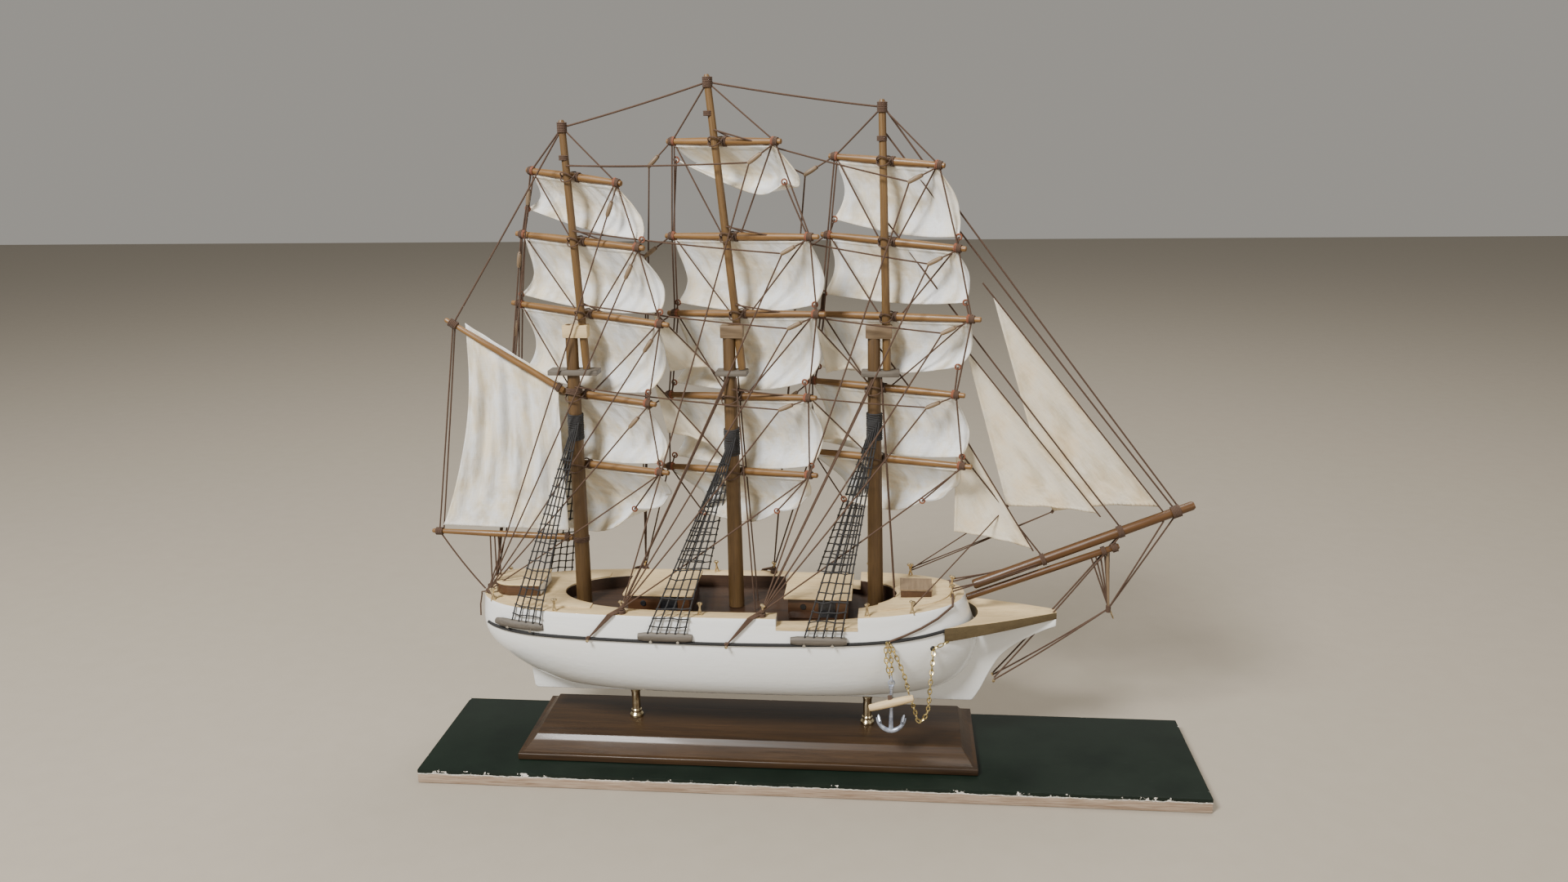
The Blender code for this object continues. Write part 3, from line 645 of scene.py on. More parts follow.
def ring_solid(bm, rings, cap="strips"):
    """A closed solid through rings. A cap is one face, or strips straight across where both sides match."""
    made = [[bm.verts.new(p) for p in ring] for ring in rings]
    count = len(rings[0])
    for lower, upper in zip(made, made[1:]):
        for i in range(count):
            j = (i + 1) % count
            bm.faces.new((lower[i], lower[j], upper[j], upper[i]))
    for ring in (made[0], made[-1]):
        if cap == "ngon":
            bm.faces.new(ring)
            continue
        half = count // 2
        for i in range(half):
            bm.faces.new(list(dict.fromkeys((ring[i], ring[i + 1], ring[-i - 1], ring[-i]))))


def cut_away(obj, low_z, high_z, outline=None, box=None):
    """Takes an upright prism or a box out of obj."""
    bm = bmesh.new()
    if outline:
        ring_solid(bm, [[(x, y, z) for x, y in outline] for z in (low_z, high_z)], "ngon")
    else:
        (x0, x1), half = box
        add_box(bm, (x0, -half, low_z), (x1, half, high_z))
    cutter = finish_mesh("cutter", bm)
    modifier = obj.modifiers.new("cut", "BOOLEAN")
    modifier.object = cutter
    modifier.operation = "DIFFERENCE"
    apply_modifiers(obj)
    bpy.data.objects.remove(cutter, do_unlink=True)


def apply_modifiers(obj):
    graph = bpy.context.evaluated_depsgraph_get()
    graph.update()
    made = bpy.data.meshes.new_from_object(obj.evaluated_get(graph))
    obj.modifiers.clear()
    old = obj.data
    obj.data = made
    made.name = obj.name
    bpy.data.meshes.remove(old)


def bevelled(obj, width, angle=30, segments=2):
    modifier = obj.modifiers.new("edges", "BEVEL")
    modifier.width = width
    modifier.segments = segments
    modifier.limit_method = "ANGLE"
    modifier.angle_limit = math.radians(angle)
    modifier.harden_normals = False
    apply_modifiers(obj)
    obj.data.shade_smooth()
    obj.data.set_sharp_from_angle(angle=math.radians(45))
    return obj


def well_outline(grow=0.0, count=96):
    ends = (WELL_ENDS[0] - grow, WELL_ENDS[1] + grow)
    return oval(*ends, WELL_HALF_WIDTH + grow, 0.62, count, middle_x=sum(WELL_ENDS) / 2)


def in_well(x, y, grow=0.0006):
    middle, half = sum(WELL_ENDS) / 2, (WELL_ENDS[1] - WELL_ENDS[0]) / 2 + grow
    along = min(1.0, abs(x - middle) / half) ** (1 / 0.62)
    return abs(y) < (WELL_HALF_WIDTH + grow) * math.sqrt(max(0, 1 - along**2))


def hull():
    """The carved block: painted outside, bare on deck, stained in the well."""
    rings = []
    for z, stern_x, bow_x, half, fineness in hull_lines():
        rings.append([(x, y, z + rise(z, x)) for x, y in oval(stern_x, bow_x, half, fineness, 128)])
    bm = bmesh.new()
    ring_solid(bm, rings)
    made = finish_mesh("hull_block", bm)
    cut_away(made, WELL_FLOOR_Z, 0.14, outline=well_outline())
    cut_away(made, GANGWAY_Z, 0.14, box=(GANGWAY_X, 0.06))
    bevelled(made, 0.0005, 50)
    for finish in (PAINT, PALE_WOOD, WELL_STAIN):
        made.data.materials.append(finish)
    for face in made.data.polygons:
        x, y, z = face.center
        flat = face.normal.z > 0.8
        at_gangway = GANGWAY_X[0] - 0.0004 < x < GANGWAY_X[1] + 0.0004
        if in_well(x, y) and WELL_FLOOR_Z - 0.0006 < z < DECK_Z + sheer(x) - 0.0004:
            face.material_index = 2
        elif flat and (z > DECK_Z - 0.003 or at_gangway and z > GANGWAY_Z - 0.001):
            face.material_index = 1
    grain(made, (1, 0, 0))
    fit(made, "root", "hull")
    sill = bmesh.new()
    for side in (-1, 1):
        outer, inner = [], []
        for i in range(13):
            x = GANGWAY_X[0] + (GANGWAY_X[1] - GANGWAY_X[0]) * i / 12
            y = abs(side_point(x, GANGWAY_Z).y)
            outer.append(Vector((x, side * (y + 0.00025), 0)))
            inner.append(Vector((x, side * (y - 0.0006), 0)))
        loop = outer + list(reversed(inner))
        ring_solid(sill, [[p + UP * z for p in loop] for z in (GANGWAY_Z - BARE_EDGE, GANGWAY_Z + 0.0002)], "ngon")
    edge = grain(finish_mesh("gangway_sills", sill, PALE_WOOD), (1, 0, 0))
    fit(edge, "root")


def raised_decks():
    """The poop and the forecastle stand a hair above the covering boards at the ship's side."""
    stern_x, bow_x = WATERLINES[-1][1] + DECK_INSET, WATERLINES[-1][2] - DECK_INSET
    half = WATERLINES[-1][3] - DECK_INSET
    spans = (("poop_deck", -0.3, WELL_ENDS[0] + 0.024), ("forecastle_deck", WELL_ENDS[1] - 0.012, 0.3))
    for name, start, end in spans:
        outline = oval(stern_x, bow_x, half, 0.5, 128)
        bm = bmesh.new()
        ring_solid(bm, [[(x, y, z + sheer(x)) for x, y in outline] for z in (DECK_Z - 0.002, DECK_Z + RAISED)])
        made = finish_mesh(name, bm)
        cut_away(made, 0.09, 0.14, outline=well_outline(0.0002))
        cut_away(made, 0.09, 0.14, box=((end, 0.4) if start < -0.2 else (-0.4, start), 0.06))
        bevelled(made, 0.00035, 40)
        made.data.materials.append(PALE_WOOD)
        grain(made, (1, 0, 0))
        fit(made, "root")


def keel_plank():
    """One board that makes the skeg, the keel, the stem and the beak."""
    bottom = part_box("keel_plank")[0].z
    skeg = [(-0.1935, bottom + 0.0250), (-0.1918, bottom + 0.0180), (-0.1900, bottom + 0.0016), (-0.1880, bottom)]
    stem = [
        (0.1085, 0.0), (0.1105, 0.0010), (0.1153, 0.0090), (0.1215, 0.0225), (0.1280, 0.0333),
        (0.1384, 0.0424), (0.1540, 0.0512), (0.1630, 0.0550),
    ]
    front = [(x, bottom + h) for x, h in smooth_line(stem, 5)]
    tip_x, tip_top = 0.1630, rail_z(0.1630)[0] + 0.0003
    inside = [
        (0.100, rail_z(0.100)[0] + 0.0003), (0.0980, 0.075), (0.0700, 0.056), (-0.150, 0.056), (-0.1900, 0.0690),
    ]
    outline = skeg + front + [(tip_x, tip_top)] + inside
    half = 0.0035
    bm = bmesh.new()
    ring_solid(bm, [[(x, y, z) for x, z in outline] for y in (-half, half)], "ngon")
    made = bevelled(finish_mesh("keel_plank_board", bm), 0.0009, 40, 3)
    made.data.materials.append(PAINT)
    fit(made, "root", "keel_plank")


RAIL_AFT_X, RAIL_TIP_X = 0.0825, 0.1630


def rail_z(x):
    share = (x - RAIL_AFT_X) / (RAIL_TIP_X - RAIL_AFT_X)
    return 0.0965 + share * 0.0075, 0.1065 + share * 0.0021


def head_rail():
    """The tapering board round the bow, its top face bare and pale, its sides stained."""
    rows = []
    for i in range(13):
        share = i / 12
        x = RAIL_AFT_X + share * (RAIL_TIP_X - RAIL_AFT_X)
        half = 0.0305 + share * (0.0030 - 0.0305) + 0.0022 * math.sin(math.pi * share)
        rows.append((x, half, *rail_z(x)))
    ring = [(x, -half, 0) for x, half, _, _ in rows] + [(x, half, 0) for x, half, _, _ in reversed(rows)]
    heights = [(low, high) for _, _, low, high in rows + rows[::-1]]
    bm = bmesh.new()
    ring_solid(bm, [[(x, y, heights[i][k]) for i, (x, y, _) in enumerate(ring)] for k in (0, 1)], "ngon")
    made = finish_mesh("head_rail_board", bm)
    outline = oval(-0.2222, 0.1122, 0.0421, 0.5, 128)
    cut_away(made, 0.08, 0.13, outline=outline)
    bevelled(made, 0.0007, 40, 3)
    made.data.materials.append(TAN_WOOD)
    made.data.materials.append(PALE_WOOD)
    for face in made.data.polygons:
        face.material_index = int(face.normal.z > 0.9)
    grain(made, (1, 0, 0.06))
    fit(made, "root", "head_rail")


def stripe_and_holes():
    """The black cord glued along each side, and the hawse holes."""
    for side, label in SIDES:
        bm = bmesh.new()
        layer = bm.verts.layers.float_vector.new("lay")
        route = [(-0.214, 0.0985), (-0.190, 0.0984), (-0.134, 0.0990), (-0.049, 0.0982), (0.020, 0.0995)]
        route += [(0.055, 0.1012), (0.072, 0.1027), (0.0850, 0.1042), (0.0900, 0.1048)]
        points = [on_side(side_point(x, z, 0.0004), side) for x, z in smooth_line(route, 8)]
        add_tube(bm, points, 0.0011, 10, layer)
        made = finish_mesh(f"side_cord_{label}", bm, BLACK_CORD)
        fit(made, "root")
        bm = bmesh.new()
        at = on_side(side_point(*HAWSE), side)
        for radius, thick, out in ((0.0012, 0.0006, 0.0001), (0.0004, 0.0009, 0.0)):
            add_ring(bm, at + Vector((0, side * out, 0)), (0.42, side, 0), radius, thick, 20)
        made = finish_mesh(f"hawse_hole_{label}", bm, BLACK)
        fit(made, "root")


# Deck fittings


def house(node, doors_x, hole_x):
    """A stained block under a bare roof board, with a round port and a door on each side."""
    low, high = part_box(node)
    over, roof = 0.0025, 0.0016
    bm = bmesh.new()
    add_box(bm, (low.x + over, low.y + over, low.z), (high.x - over, high.y - over, high.z - roof), 0.0004)
    body = grain(finish_mesh(f"{node}_block", bm, DARK_WOOD), (1, 0, 0))
    bm = bmesh.new()
    add_box(bm, (low.x, low.y, high.z - roof), high, 0.0004)
    top = grain(finish_mesh(f"{node}_roof", bm, PALE_WOOD), (1, 0, 0))
    bm = bmesh.new()
    for side in (-1, 1):
        y = (low.y + over) if side < 0 else (high.y - over)
        middle_z = low.z + 0.58 * (high.z - roof - low.z)
        add_ring(bm, (hole_x, y, middle_z), (0, 1, 0), 0.0013, 0.0007, 20)
        add_ring(bm, (hole_x, y, middle_z), (0, 1, 0), 0.0005, 0.00055, 14)
        eaves = high.z - roof
        add_box(bm, (doors_x[0], y - 0.0005, low.z + 0.0012), (doors_x[1], y + 0.0005, eaves - 0.0006), 0.0002)
        for x in doors_x:
            add_box(bm, (x - 0.0004, y - 0.0008, low.z + 0.001), (x + 0.0004, y + 0.0008, eaves - 0.0004), 0.0002)
    trim = finish_mesh(f"{node}_port_and_door", bm, BLACK)
    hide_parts(node)
    for piece in (body, top, trim):
        fit(piece, "root")


def poop_house():
    low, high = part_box("poop_house")
    radius = (high.y - low.y) / 2

    def outline(grow):
        points = [(high.x + grow, -radius - grow), (high.x + grow, radius + grow)]
        for i in range(25):
            angle = math.radians(90 + 7.5 * i)
            points.append((low.x + radius + (radius + grow) * math.cos(angle), (radius + grow) * math.sin(angle)))
        return points

    roof = 0.0014
    parts = (
        ("poop_house_block", outline(0), low.z, high.z - roof, DARK_WOOD),
        ("poop_house_roof", outline(0.0006), high.z - roof, high.z, PALE_WOOD),
    )
    for name, points, bottom, top, finish in parts:
        bm = bmesh.new()
        ring_solid(bm, [[(x, y, z) for x, y in points] for z in (bottom, top)], "ngon")
        made = bevelled(finish_mesh(name, bm), 0.0004, 40)
        made.data.materials.append(finish)
        grain(made, (1, 0, 0))
        if name.endswith("block"):
            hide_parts("poop_house")
        fit(made, "root")
    bm = bmesh.new()
    half = radius - 0.0012
    add_box(bm, (high.x - 0.0002, -half, low.z + 0.0008), (high.x + 0.0004, half, high.z - roof), 0.0002)
    front = finish_mesh("poop_house_front", bm, PAINT)
    fit(front, "root")


def locker():
    low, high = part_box("forecastle_locker")
    low = low - UP * 0.0006
    bm = bmesh.new()
    add_box(bm, low, high - UP * 0.0014, 0.0003)
    body = grain(finish_mesh("locker_block", bm, DARK_WOOD), (0, 1, 0))
    bm = bmesh.new()
    over = Vector((0.0005, 0.0005, 0))
    add_box(bm, low - over + UP * (high.z - low.z - 0.0014), high + over, 0.0003)
    lid = grain(finish_mesh("locker_lid", bm, TOGGLE), (0, 1, 0))
    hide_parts("forecastle_locker")
    for piece in (body, lid):
        fit(piece, "root")


# Masts and spars


def masts():
    for mast in MASTS:
        foot, head = MAST_LINES[mast]["lower"]
        profile = ((0, 0.0052), (0.5, 0.0046), (0.86, 0.0040), (0.995, 0.0039), (1, 0.0036))
        pole = rod(f"{mast}_lower_pole", foot, head, profile, MAST_WOOD, 32)
        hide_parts(f"{mast}_lower_mast")
        foot, head = MAST_LINES[mast]["top"]
        profile = ((0, 0.0024), (0.02, 0.0026), (0.5, 0.0025), (0.97, 0.0022), (0.99, 0.0021), (1, 0.0012))
        upper = rod(f"{mast}_topmast_pole", foot, head, profile, TOPMAST_WOOD, 24)
        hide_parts(f"{mast}_topmast")
        cap = cap_block(mast)
        table = platform(mast)
        for piece in (pole, upper, cap, table):
            fit(piece, "root")


def cap_block(mast):
    """The block that holds the topmast's foot to the lower mast's head."""
    mast_x = mast_point(mast, 0.293, "lower").x
    top_x = mast_point(mast, 0.293, "top").x
    bm = bmesh.new()
    add_box(bm, (mast_x - CAP_AFT, -0.00425, 0.2890), (top_x + 0.0037, 0.00425, CAP_TOP_Z), 0.0009)
    return grain(finish_mesh(f"{mast}_cap", bm, PALE_WOOD if mast == "mizzen" else TOGGLE), (1, 0, 0))


def platform(mast):
    low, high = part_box(f"{mast}_top")
    bm = bmesh.new()
    add_box(bm, low, high, 0.0008)
    made = grain(finish_mesh(f"{mast}_platform", bm, GREY_WOOD), (1, 0, 0))
    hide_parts(f"{mast}_top")
    return made


def yards():
    for mast in MASTS:
        for tier in TIERS:
            node = f"{mast}_{tier}_yard"
            port, starboard = YARD_LINES[mast, tier]
            profile = [(0, 0.0011), (0.004, 0.0016)]
            profile += [(t, 0.0017 + 0.0008 * math.sin(math.pi * t)) for t in (0.1, 0.3, 0.5, 0.7, 0.9)]
            profile += [(0.996, 0.0016), (1, 0.0011)]
            made = rod(f"{node}_spar", port, starboard, profile, YARD_WOOD, 20)
            fit(made, f"{mast}_yards", node)


def spars():
    for node, finish, slot, body in (
        ("spanker_gaff", YARD_WOOD, "yard_wood", "spanker"), ("spanker_boom", YARD_WOOD, "yard_wood", "spanker"),
        ("bowsprit", BOW_WOOD, "bowsprit_wood", "root"), ("jibboom", BOW_WOOD, "bowsprit_wood", "root"),
    ):
        a, b, radius = axis_of(node)
        if (a.x > b.x) == (body == "root"):
            a, b = b, a
        small = 0.72 if body == "spanker" else 0.9
        tip = radius * small
        profile = ((0, radius * 0.8), (0.006, radius), (0.6, radius), (0.99, tip), (1, tip * 0.7))
        made = rod(f"{node}_spar", a, b, profile, finish, 24)
        fit(made, body, node)


# Sails

HEM = 0.0016
WIND = Vector((0.78, 0.60, -0.10)).normalized()

# Each square sail: how far out its clews are tied (share of the arm) and how far down (share of the way to the
# next yard), port then starboard; then its slack, from which its belly follows: 1 hangs flat.
SQUARE_SAILS = {
    "mizzen_royal": (0.90, 0.62, 0.95, 0.95, 1.15),
    "mizzen_topgallant": (0.90, 0.93, 0.90, 0.90, 1.11),
    "mizzen_upper_topsail": (0.86, 0.90, 0.86, 0.92, 1.09),
    "mizzen_lower_topsail": (0.86, 0.90, 0.88, 0.94, 1.11),
    "mizzen_course": (0.55, 1.15, 0.55, 0.66, 1.50),
    "main_royal": (0.86, 0.16, 0.80, 0.42, 2.20),
    "main_topgallant": (0.88, 0.92, 0.86, 0.94, 1.10),
    "main_upper_topsail": (0.86, 0.90, 0.82, 0.86, 1.10),
    "main_lower_topsail": (0.86, 0.90, 0.90, 0.94, 1.11),
    "main_course": (0.50, 0.75, 0.46, 0.62, 1.60),
    "fore_royal": (0.84, 0.84, 0.90, 0.92, 1.07),
    "fore_topgallant": (0.90, 0.78, 0.84, 0.82, 1.06),
    "fore_upper_topsail": (0.86, 0.84, 0.84, 0.66, 1.11),
    "fore_lower_topsail": (0.86, 0.90, 0.88, 0.94, 1.10),
    "fore_course": (0.50, 0.75, 0.46, 0.62, 1.60),
}
SAIL_COLUMNS, SAIL_ROWS = 26, 22
CLOTH_SCALE = 10  # the cloth solver behaves best on things about a metre across
COURSE_DROP = 0.038


def yard_point(mast, tier, along, below=0.0):
    """A point on a yard's axis: along runs from -1, the port end, over 0, the mast, to 1, the starboard end."""
    port, starboard = YARD_LINES[mast, tier]
    middle = YARD_MIDDLES[mast, tier]
    end = starboard if along > 0 else port
    return middle.lerp(end, abs(along)) - UP * below


def square_sail_corners(mast, tier):
    """Head ends and clews of a square sail, port then starboard, and the drop between them."""
    port_out, port_down, starboard_out, starboard_down, _ = SQUARE_SAILS[f"{mast}_{tier}"]
    spread = 0.88
    heads = [yard_point(mast, tier, side * spread, 0.0026) for side in (-1, 1)]
    place = TIERS.index(tier)
    clews, drops = [], []
    for side, out, down in ((-1, port_out, port_down), (1, starboard_out, starboard_down)):
        head = yard_point(mast, tier, side * out, 0.0026)
        if tier == "course":
            foot = head - UP * COURSE_DROP
        else:
            foot = yard_point(mast, TIERS[place + 1], side * out, -0.0035)
        clews.append(head.lerp(foot, down) + WIND * 0.0015)
        drops.append((foot - head).length * down)
    return heads, clews, sum(drops) / 2


def cloth_patch(heads, clews, columns, rows, belly):
    """Points of a bellied, four-cornered sail, row by row from the head."""
    points = []
    for row in range(rows + 1):
        t = row / rows
        for column in range(columns + 1):
            s = column / columns
            top = heads[0].lerp(heads[1], s)
            bottom = clews[0].lerp(clews[1], s)
            puff = belly * math.sin(math.pi * min(1, t * 1.02)) + belly * 0.8 * t * math.sin(math.pi * s)
            point = top.lerp(bottom, t) + WIND * puff - UP * (belly * 0.5 * t * math.sin(math.pi * s))
            points.append(point)
    return points


def simulate(name, start, faces, pinned, pull, frames=45, stiffness=8.0, bending=0.05):
    """Hangs a shaped patch from its pinned points under a steady pull; its own lengths are its rest lengths.
"""
    mesh = bpy.data.meshes.new(name)
    mesh.from_pydata([p * CLOTH_SCALE for p in start], [], faces)
    obj = link(name, mesh)
    group = obj.vertex_groups.new(name="pinned")
    group.add(pinned, 1.0, "REPLACE")
    cloth = obj.modifiers.new("cloth", "CLOTH")
    settings = cloth.settings
    settings.vertex_group_mass = "pinned"
    settings.pin_stiffness = 10
    settings.quality = 6
    settings.mass = 0.15
    settings.air_damping = 2.0
    settings.tension_stiffness = settings.compression_stiffness = stiffness
    settings.shear_stiffness = stiffness * 0.6
    settings.bending_stiffness = bending
    settings.tension_damping = settings.compression_damping = 8
    cloth.collision_settings.use_collision = False
    cloth.point_cache.frame_start = 1
    cloth.point_cache.frame_end = frames
    scene = bpy.context.scene
    scene.gravity = pull
    for frame_number in range(1, frames + 1):
        scene.frame_set(frame_number)
    graph = bpy.context.evaluated_depsgraph_get()
    done = obj.evaluated_get(graph).to_mesh()
    points = [v.co / CLOTH_SCALE for v in done.vertices]
    bpy.data.objects.remove(obj, do_unlink=True)
    scene.frame_set(1)
    scene.gravity = (0, 0, -9.81)
    return points


def patch_faces(columns, rows, first=0):
    width = columns + 1
    return [
        tuple(first + r * width + c + step for step in (0, 1, width + 1, width))
        for r in range(rows) for c in range(columns)
    ]


def sail_mesh(name, points, flat, faces, finish):
    """Cloth with a thickness and a thicker hem; flat says where each point lies in the cloth, for hem and weave."""
    mesh = bpy.data.meshes.new(name)
    mesh.from_pydata([tuple(p) for p in points], [], faces)
    obj = link(name, mesh)
    attribute = mesh.attributes.new("cloth", "FLOAT_VECTOR", "POINT")
    values = []
    rim = rim_segments(flat, faces)
    for p in flat:
        values += [p.x, p.z, distance_to(rim, p)]
    attribute.data.foreach_set("vector", values)
    smooth = obj.modifiers.new("smooth", "SUBSURF")
    smooth.levels = smooth.render_levels = 2
    smooth.boundary_smooth = "PRESERVE_CORNERS"
    apply_modifiers(obj)
    co = np.zeros(len(obj.data.vertices) * 3)
    obj.data.attributes["cloth"].data.foreach_get("vector", co)
    rim_distance = co.reshape(-1, 3)[:, 2]
    group = obj.vertex_groups.new(name="hem")
    for i, distance in enumerate(rim_distance):
        group.add([i], 1.0 if distance < HEM else 0.34, "REPLACE")
    thick = obj.modifiers.new("thick", "SOLIDIFY")
    thick.thickness = 0.0008
    thick.offset = 0
    thick.vertex_group = "hem"
    apply_modifiers(obj)
    obj.data.shade_smooth()
    obj.data.materials.append(finish)
    return obj


def rim_segments(flat, faces):
    """The flat cut's border, as pairs of points."""
    seen = {}
    for face in faces:
        for a, b in zip(face, face[1:] + face[:1]):
            key = (min(a, b), max(a, b))
            seen[key] = seen.get(key, 0) + 1
    return [(flat[a], flat[b]) for (a, b), count in seen.items() if count == 1]


def distance_to(rim, p):
    a = np.array([s[0] for s in rim])
    b = np.array([s[1] for s in rim])
    q = np.array(p)
    along = b - a
    t = np.clip(((q - a) * along).sum(1) / np.maximum((along * along).sum(1), 1e-12), 0, 1)
    return float(np.linalg.norm(a + along * t[:, None] - q, axis=1).min())


def mean_length(lines):
    """Mean length of several lines of points."""
    return sum(sum((b - a).length for a, b in zip(line, line[1:])) for line in lines) / len(lines)


def patch_lines(points, columns, rows):
    """The patch's rows, then its columns, as lines of points."""
    stride = columns + 1
    across = [points[r * stride:(r + 1) * stride] for r in range(rows + 1)]
    return across, [points[c::stride] for c in range(stride)]


def flat_cut(shaped):
    """The shaped cloth's mean width and length, and a rectangle of points of that size, for the same rows."""
    rows, columns = patch_lines(shaped, SAIL_COLUMNS, SAIL_ROWS)
    wide, tall = mean_length(rows), mean_length(columns)
    flat = [
        Vector(((c / SAIL_COLUMNS - 0.5) * wide, 0, -r / SAIL_ROWS * tall))
        for r in range(SAIL_ROWS + 1) for c in range(SAIL_COLUMNS + 1)
    ]
    return flat, wide, tall


def rippled_patch(mast, tier):
    """The shape that a square sail starts from, with a few upright ripples of its own."""
    heads, clews, drop = square_sail_corners(mast, tier)
    slack = SQUARE_SAILS[f"{mast}_{tier}"][4]
    gap = sum((c - h).length for c, h in zip(clews, heads)) / 2
    belly = 0.55 * math.sqrt(max((drop * slack) ** 2 - gap**2, 0))
    points = cloth_patch(heads, clews, SAIL_COLUMNS, SAIL_ROWS, min(belly, 0.020 if slack > 1.4 else 0.013))
    ripple = random.Random(f"{mast}_{tier}")
    phases = [ripple.uniform(0, 6.28) for _ in range(3)]
    for i, p in enumerate(points):
        row, column = divmod(i, SAIL_COLUMNS + 1)
        wave = sum(math.sin(column * k + phase) for k, phase in zip((0.9, 1.7, 2.6), phases))
        points[i] = p + WIND * (0.0011 * wave * math.sin(math.pi * min(1, row / SAIL_ROWS * 1.6 + 0.02)))
    return points


def square_sails():
    """All fifteen hang in one simulation, since no two of them touch."""
    count = (SAIL_COLUMNS + 1) * (SAIL_ROWS + 1)
    start, faces, pinned = [], [], []
    keys = [(mast, tier) for mast in MASTS for tier in TIERS]
    patches = [rippled_patch(*key) for key in keys]
    for patch in patches:
        first = len(start)
        start += patch
        faces += patch_faces(SAIL_COLUMNS, SAIL_ROWS, first)
        foot = first + SAIL_ROWS * (SAIL_COLUMNS + 1)
        pinned += [*range(first, first + SAIL_COLUMNS + 1), foot, foot + SAIL_COLUMNS]
    hung = simulate("square_sails", start, faces, pinned, WIND * 3.6 - UP * 3.2)
    faces = patch_faces(SAIL_COLUMNS, SAIL_ROWS)
    for place, ((mast, tier), patch) in enumerate(zip(keys, patches)):
        points = hung[place * count:(place + 1) * count]
        flat, wide, tall = flat_cut(patch)
        name = f"{mast}_course" if tier == "course" else f"{mast}_{tier}_sail"
        sail = sail_mesh(f"{name}_cloth", points, flat, faces, COTTON)
        fit(sail, f"{mast}_yards", name)


def triangle_patch(corners, rows):
    """A triangular sail: points, their flat places and faces. corners are head, tack and clew."""
    head, tack, clew = corners
    a, b = (tack - head).length, (clew - head).length
    foot = (clew - tack).length
    angle = math.acos(max(-1, min(1, (a * a + b * b - foot * foot) / (2 * a * b))))
    flat_tack, flat_clew = Vector((0, 0, -a)), Vector((b * math.sin(angle), 0, -b * math.cos(angle)))
    points, flat, faces, index = [], [], [], {}
    for row in range(rows + 1):
        t = row / rows
        for column in range(row + 1):
            s = column / row if row else 0
            index[row, column] = len(points)
            points.append(head.lerp(tack, t).lerp(head.lerp(clew, t), s))
            flat.append((flat_tack * t).lerp(flat_clew * t, s))
    for row in range(rows):
        for column in range(row + 1):
            faces.append((index[row, column], index[row + 1, column], index[row + 1, column + 1]))
            if column < row:
                faces.append((index[row, column], index[row + 1, column + 1], index[row, column + 1]))
    return points, flat, faces, index


def triangular_sail(name, corners, puff, body="root", node=None, rows=24, waves=3):
    """A staysail or jib: its luff is straight, and its body bellies to port and ripples a little."""
    points, flat, faces, index = triangle_patch(corners, rows)
    normal = (corners[1] - corners[0]).cross(corners[2] - corners[0]).normalized()
    if normal.y < 0:
        normal = -normal
    rng = random.Random(name)
    phase = rng.uniform(0, 6.28)
    for (row, column), i in index.items():
        t = row / rows
        s = column / row if row else 0
        belly = puff * 4 * t * (1 - t * 0.75) * math.sin(math.pi * min(1, s * 0.9 + 0.04))
        ripple = 0.0007 * math.sin(waves * 2 * math.pi * s + phase + 3 * t) * t * math.sin(math.pi * s)
        points[i] = points[i] + normal * (belly + ripple)
    sail = sail_mesh(f"{name}_cloth", points, flat, faces, STAY_COTTON)
    if node:
        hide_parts(node)
    fit(sail, body)
    bm = bmesh.new()
    layer = bm.verts.layers.float_vector.new("lay")
    head, tack, _ = corners
    add_tube(bm, [head.lerp(tack, t) for t in (-0.06, 0.5, 1.02 if node else 1.30)], THREAD, 6, layer)
    rope = finish_mesh(f"{name}_luff_rope", bm, RIG)
    fit(rope, body)
    return sail


FLYING_JIB_TAKEN_IN = 0.22  # share of the foot by which this jib's clew is drawn forward


def head_sails():
    for node, puff in (("flying_jib", 0.006), ("outer_jib", 0.004), ("inner_jib", 0.0035)):
        triangular_sail(node, jib_corners(node), puff, node=node)


def jib_corners(node):
    """Head, tack and clew of a head sail: its CAD solid's highest corner, its foremost one, and the other."""
    co = [v.co.copy() for v in NODES[node].data.vertices]
    head = max(co, key=lambda p: p.z)
    tack = max(co, key=lambda p: p.x)
    clew = max(co, key=lambda p: (p - head).cross((tack - head).normalized()).length)
    head, tack, clew = (mean_near(co, p) for p in (head, tack, clew))
    return [head, tack, clew.lerp(tack, FLYING_JIB_TAKEN_IN) if node == "flying_jib" else clew]


def mean_near(points, place, reach=0.002):
    near = [p for p in points if (p - place).length < reach]
    return sum(near, Vector()) / len(near)


def spanker_sail():
    """Sewn to the gaff and boom, with soft upright pleats; its head passes on the gaff's far side."""
    corners = ((-0.2205, 0.2975), (-0.1610, 0.2590), (-0.1600, 0.1585), (-0.2462, 0.1608))
    peak, throat, tack, clew = (Vector((x, 0, z)) for x, z in corners)
    columns, rows = 36, 30
    points, flat = [], []
    for row in range(rows + 1):
        t = row / rows
        for column in range(columns + 1):
            s = column / columns
            p = throat.lerp(peak, s).lerp(tack.lerp(clew, s), t)
            pleat = 0.0015 * math.sin(s * 27 + 2.2 * math.sin(2.2 * t + 1))
            pleat *= math.sin(math.pi * min(1, t * 0.9 + 0.08))
            pleat += 0.0009 * math.sin(s * 49 + 5 * t) * math.sin(math.pi * t)
            belly = -0.0035 * math.sin(math.pi * s) * math.sin(math.pi * t)
            bow = 0.0088 * math.sin(math.pi * t) ** 0.8 * s**1.5
            behind = 0.0026 * max(0, 1 - t / 0.10)
            points.append(p + Vector((bow, behind - (pleat + belly), 0)))
            flat.append(Vector((p.x, 0, p.z)))
    faces = patch_faces(columns, rows)
    sail = sail_mesh("spanker_cloth", points, flat, faces, COTTON)
    fit(sail, "spanker", "spanker_sail")


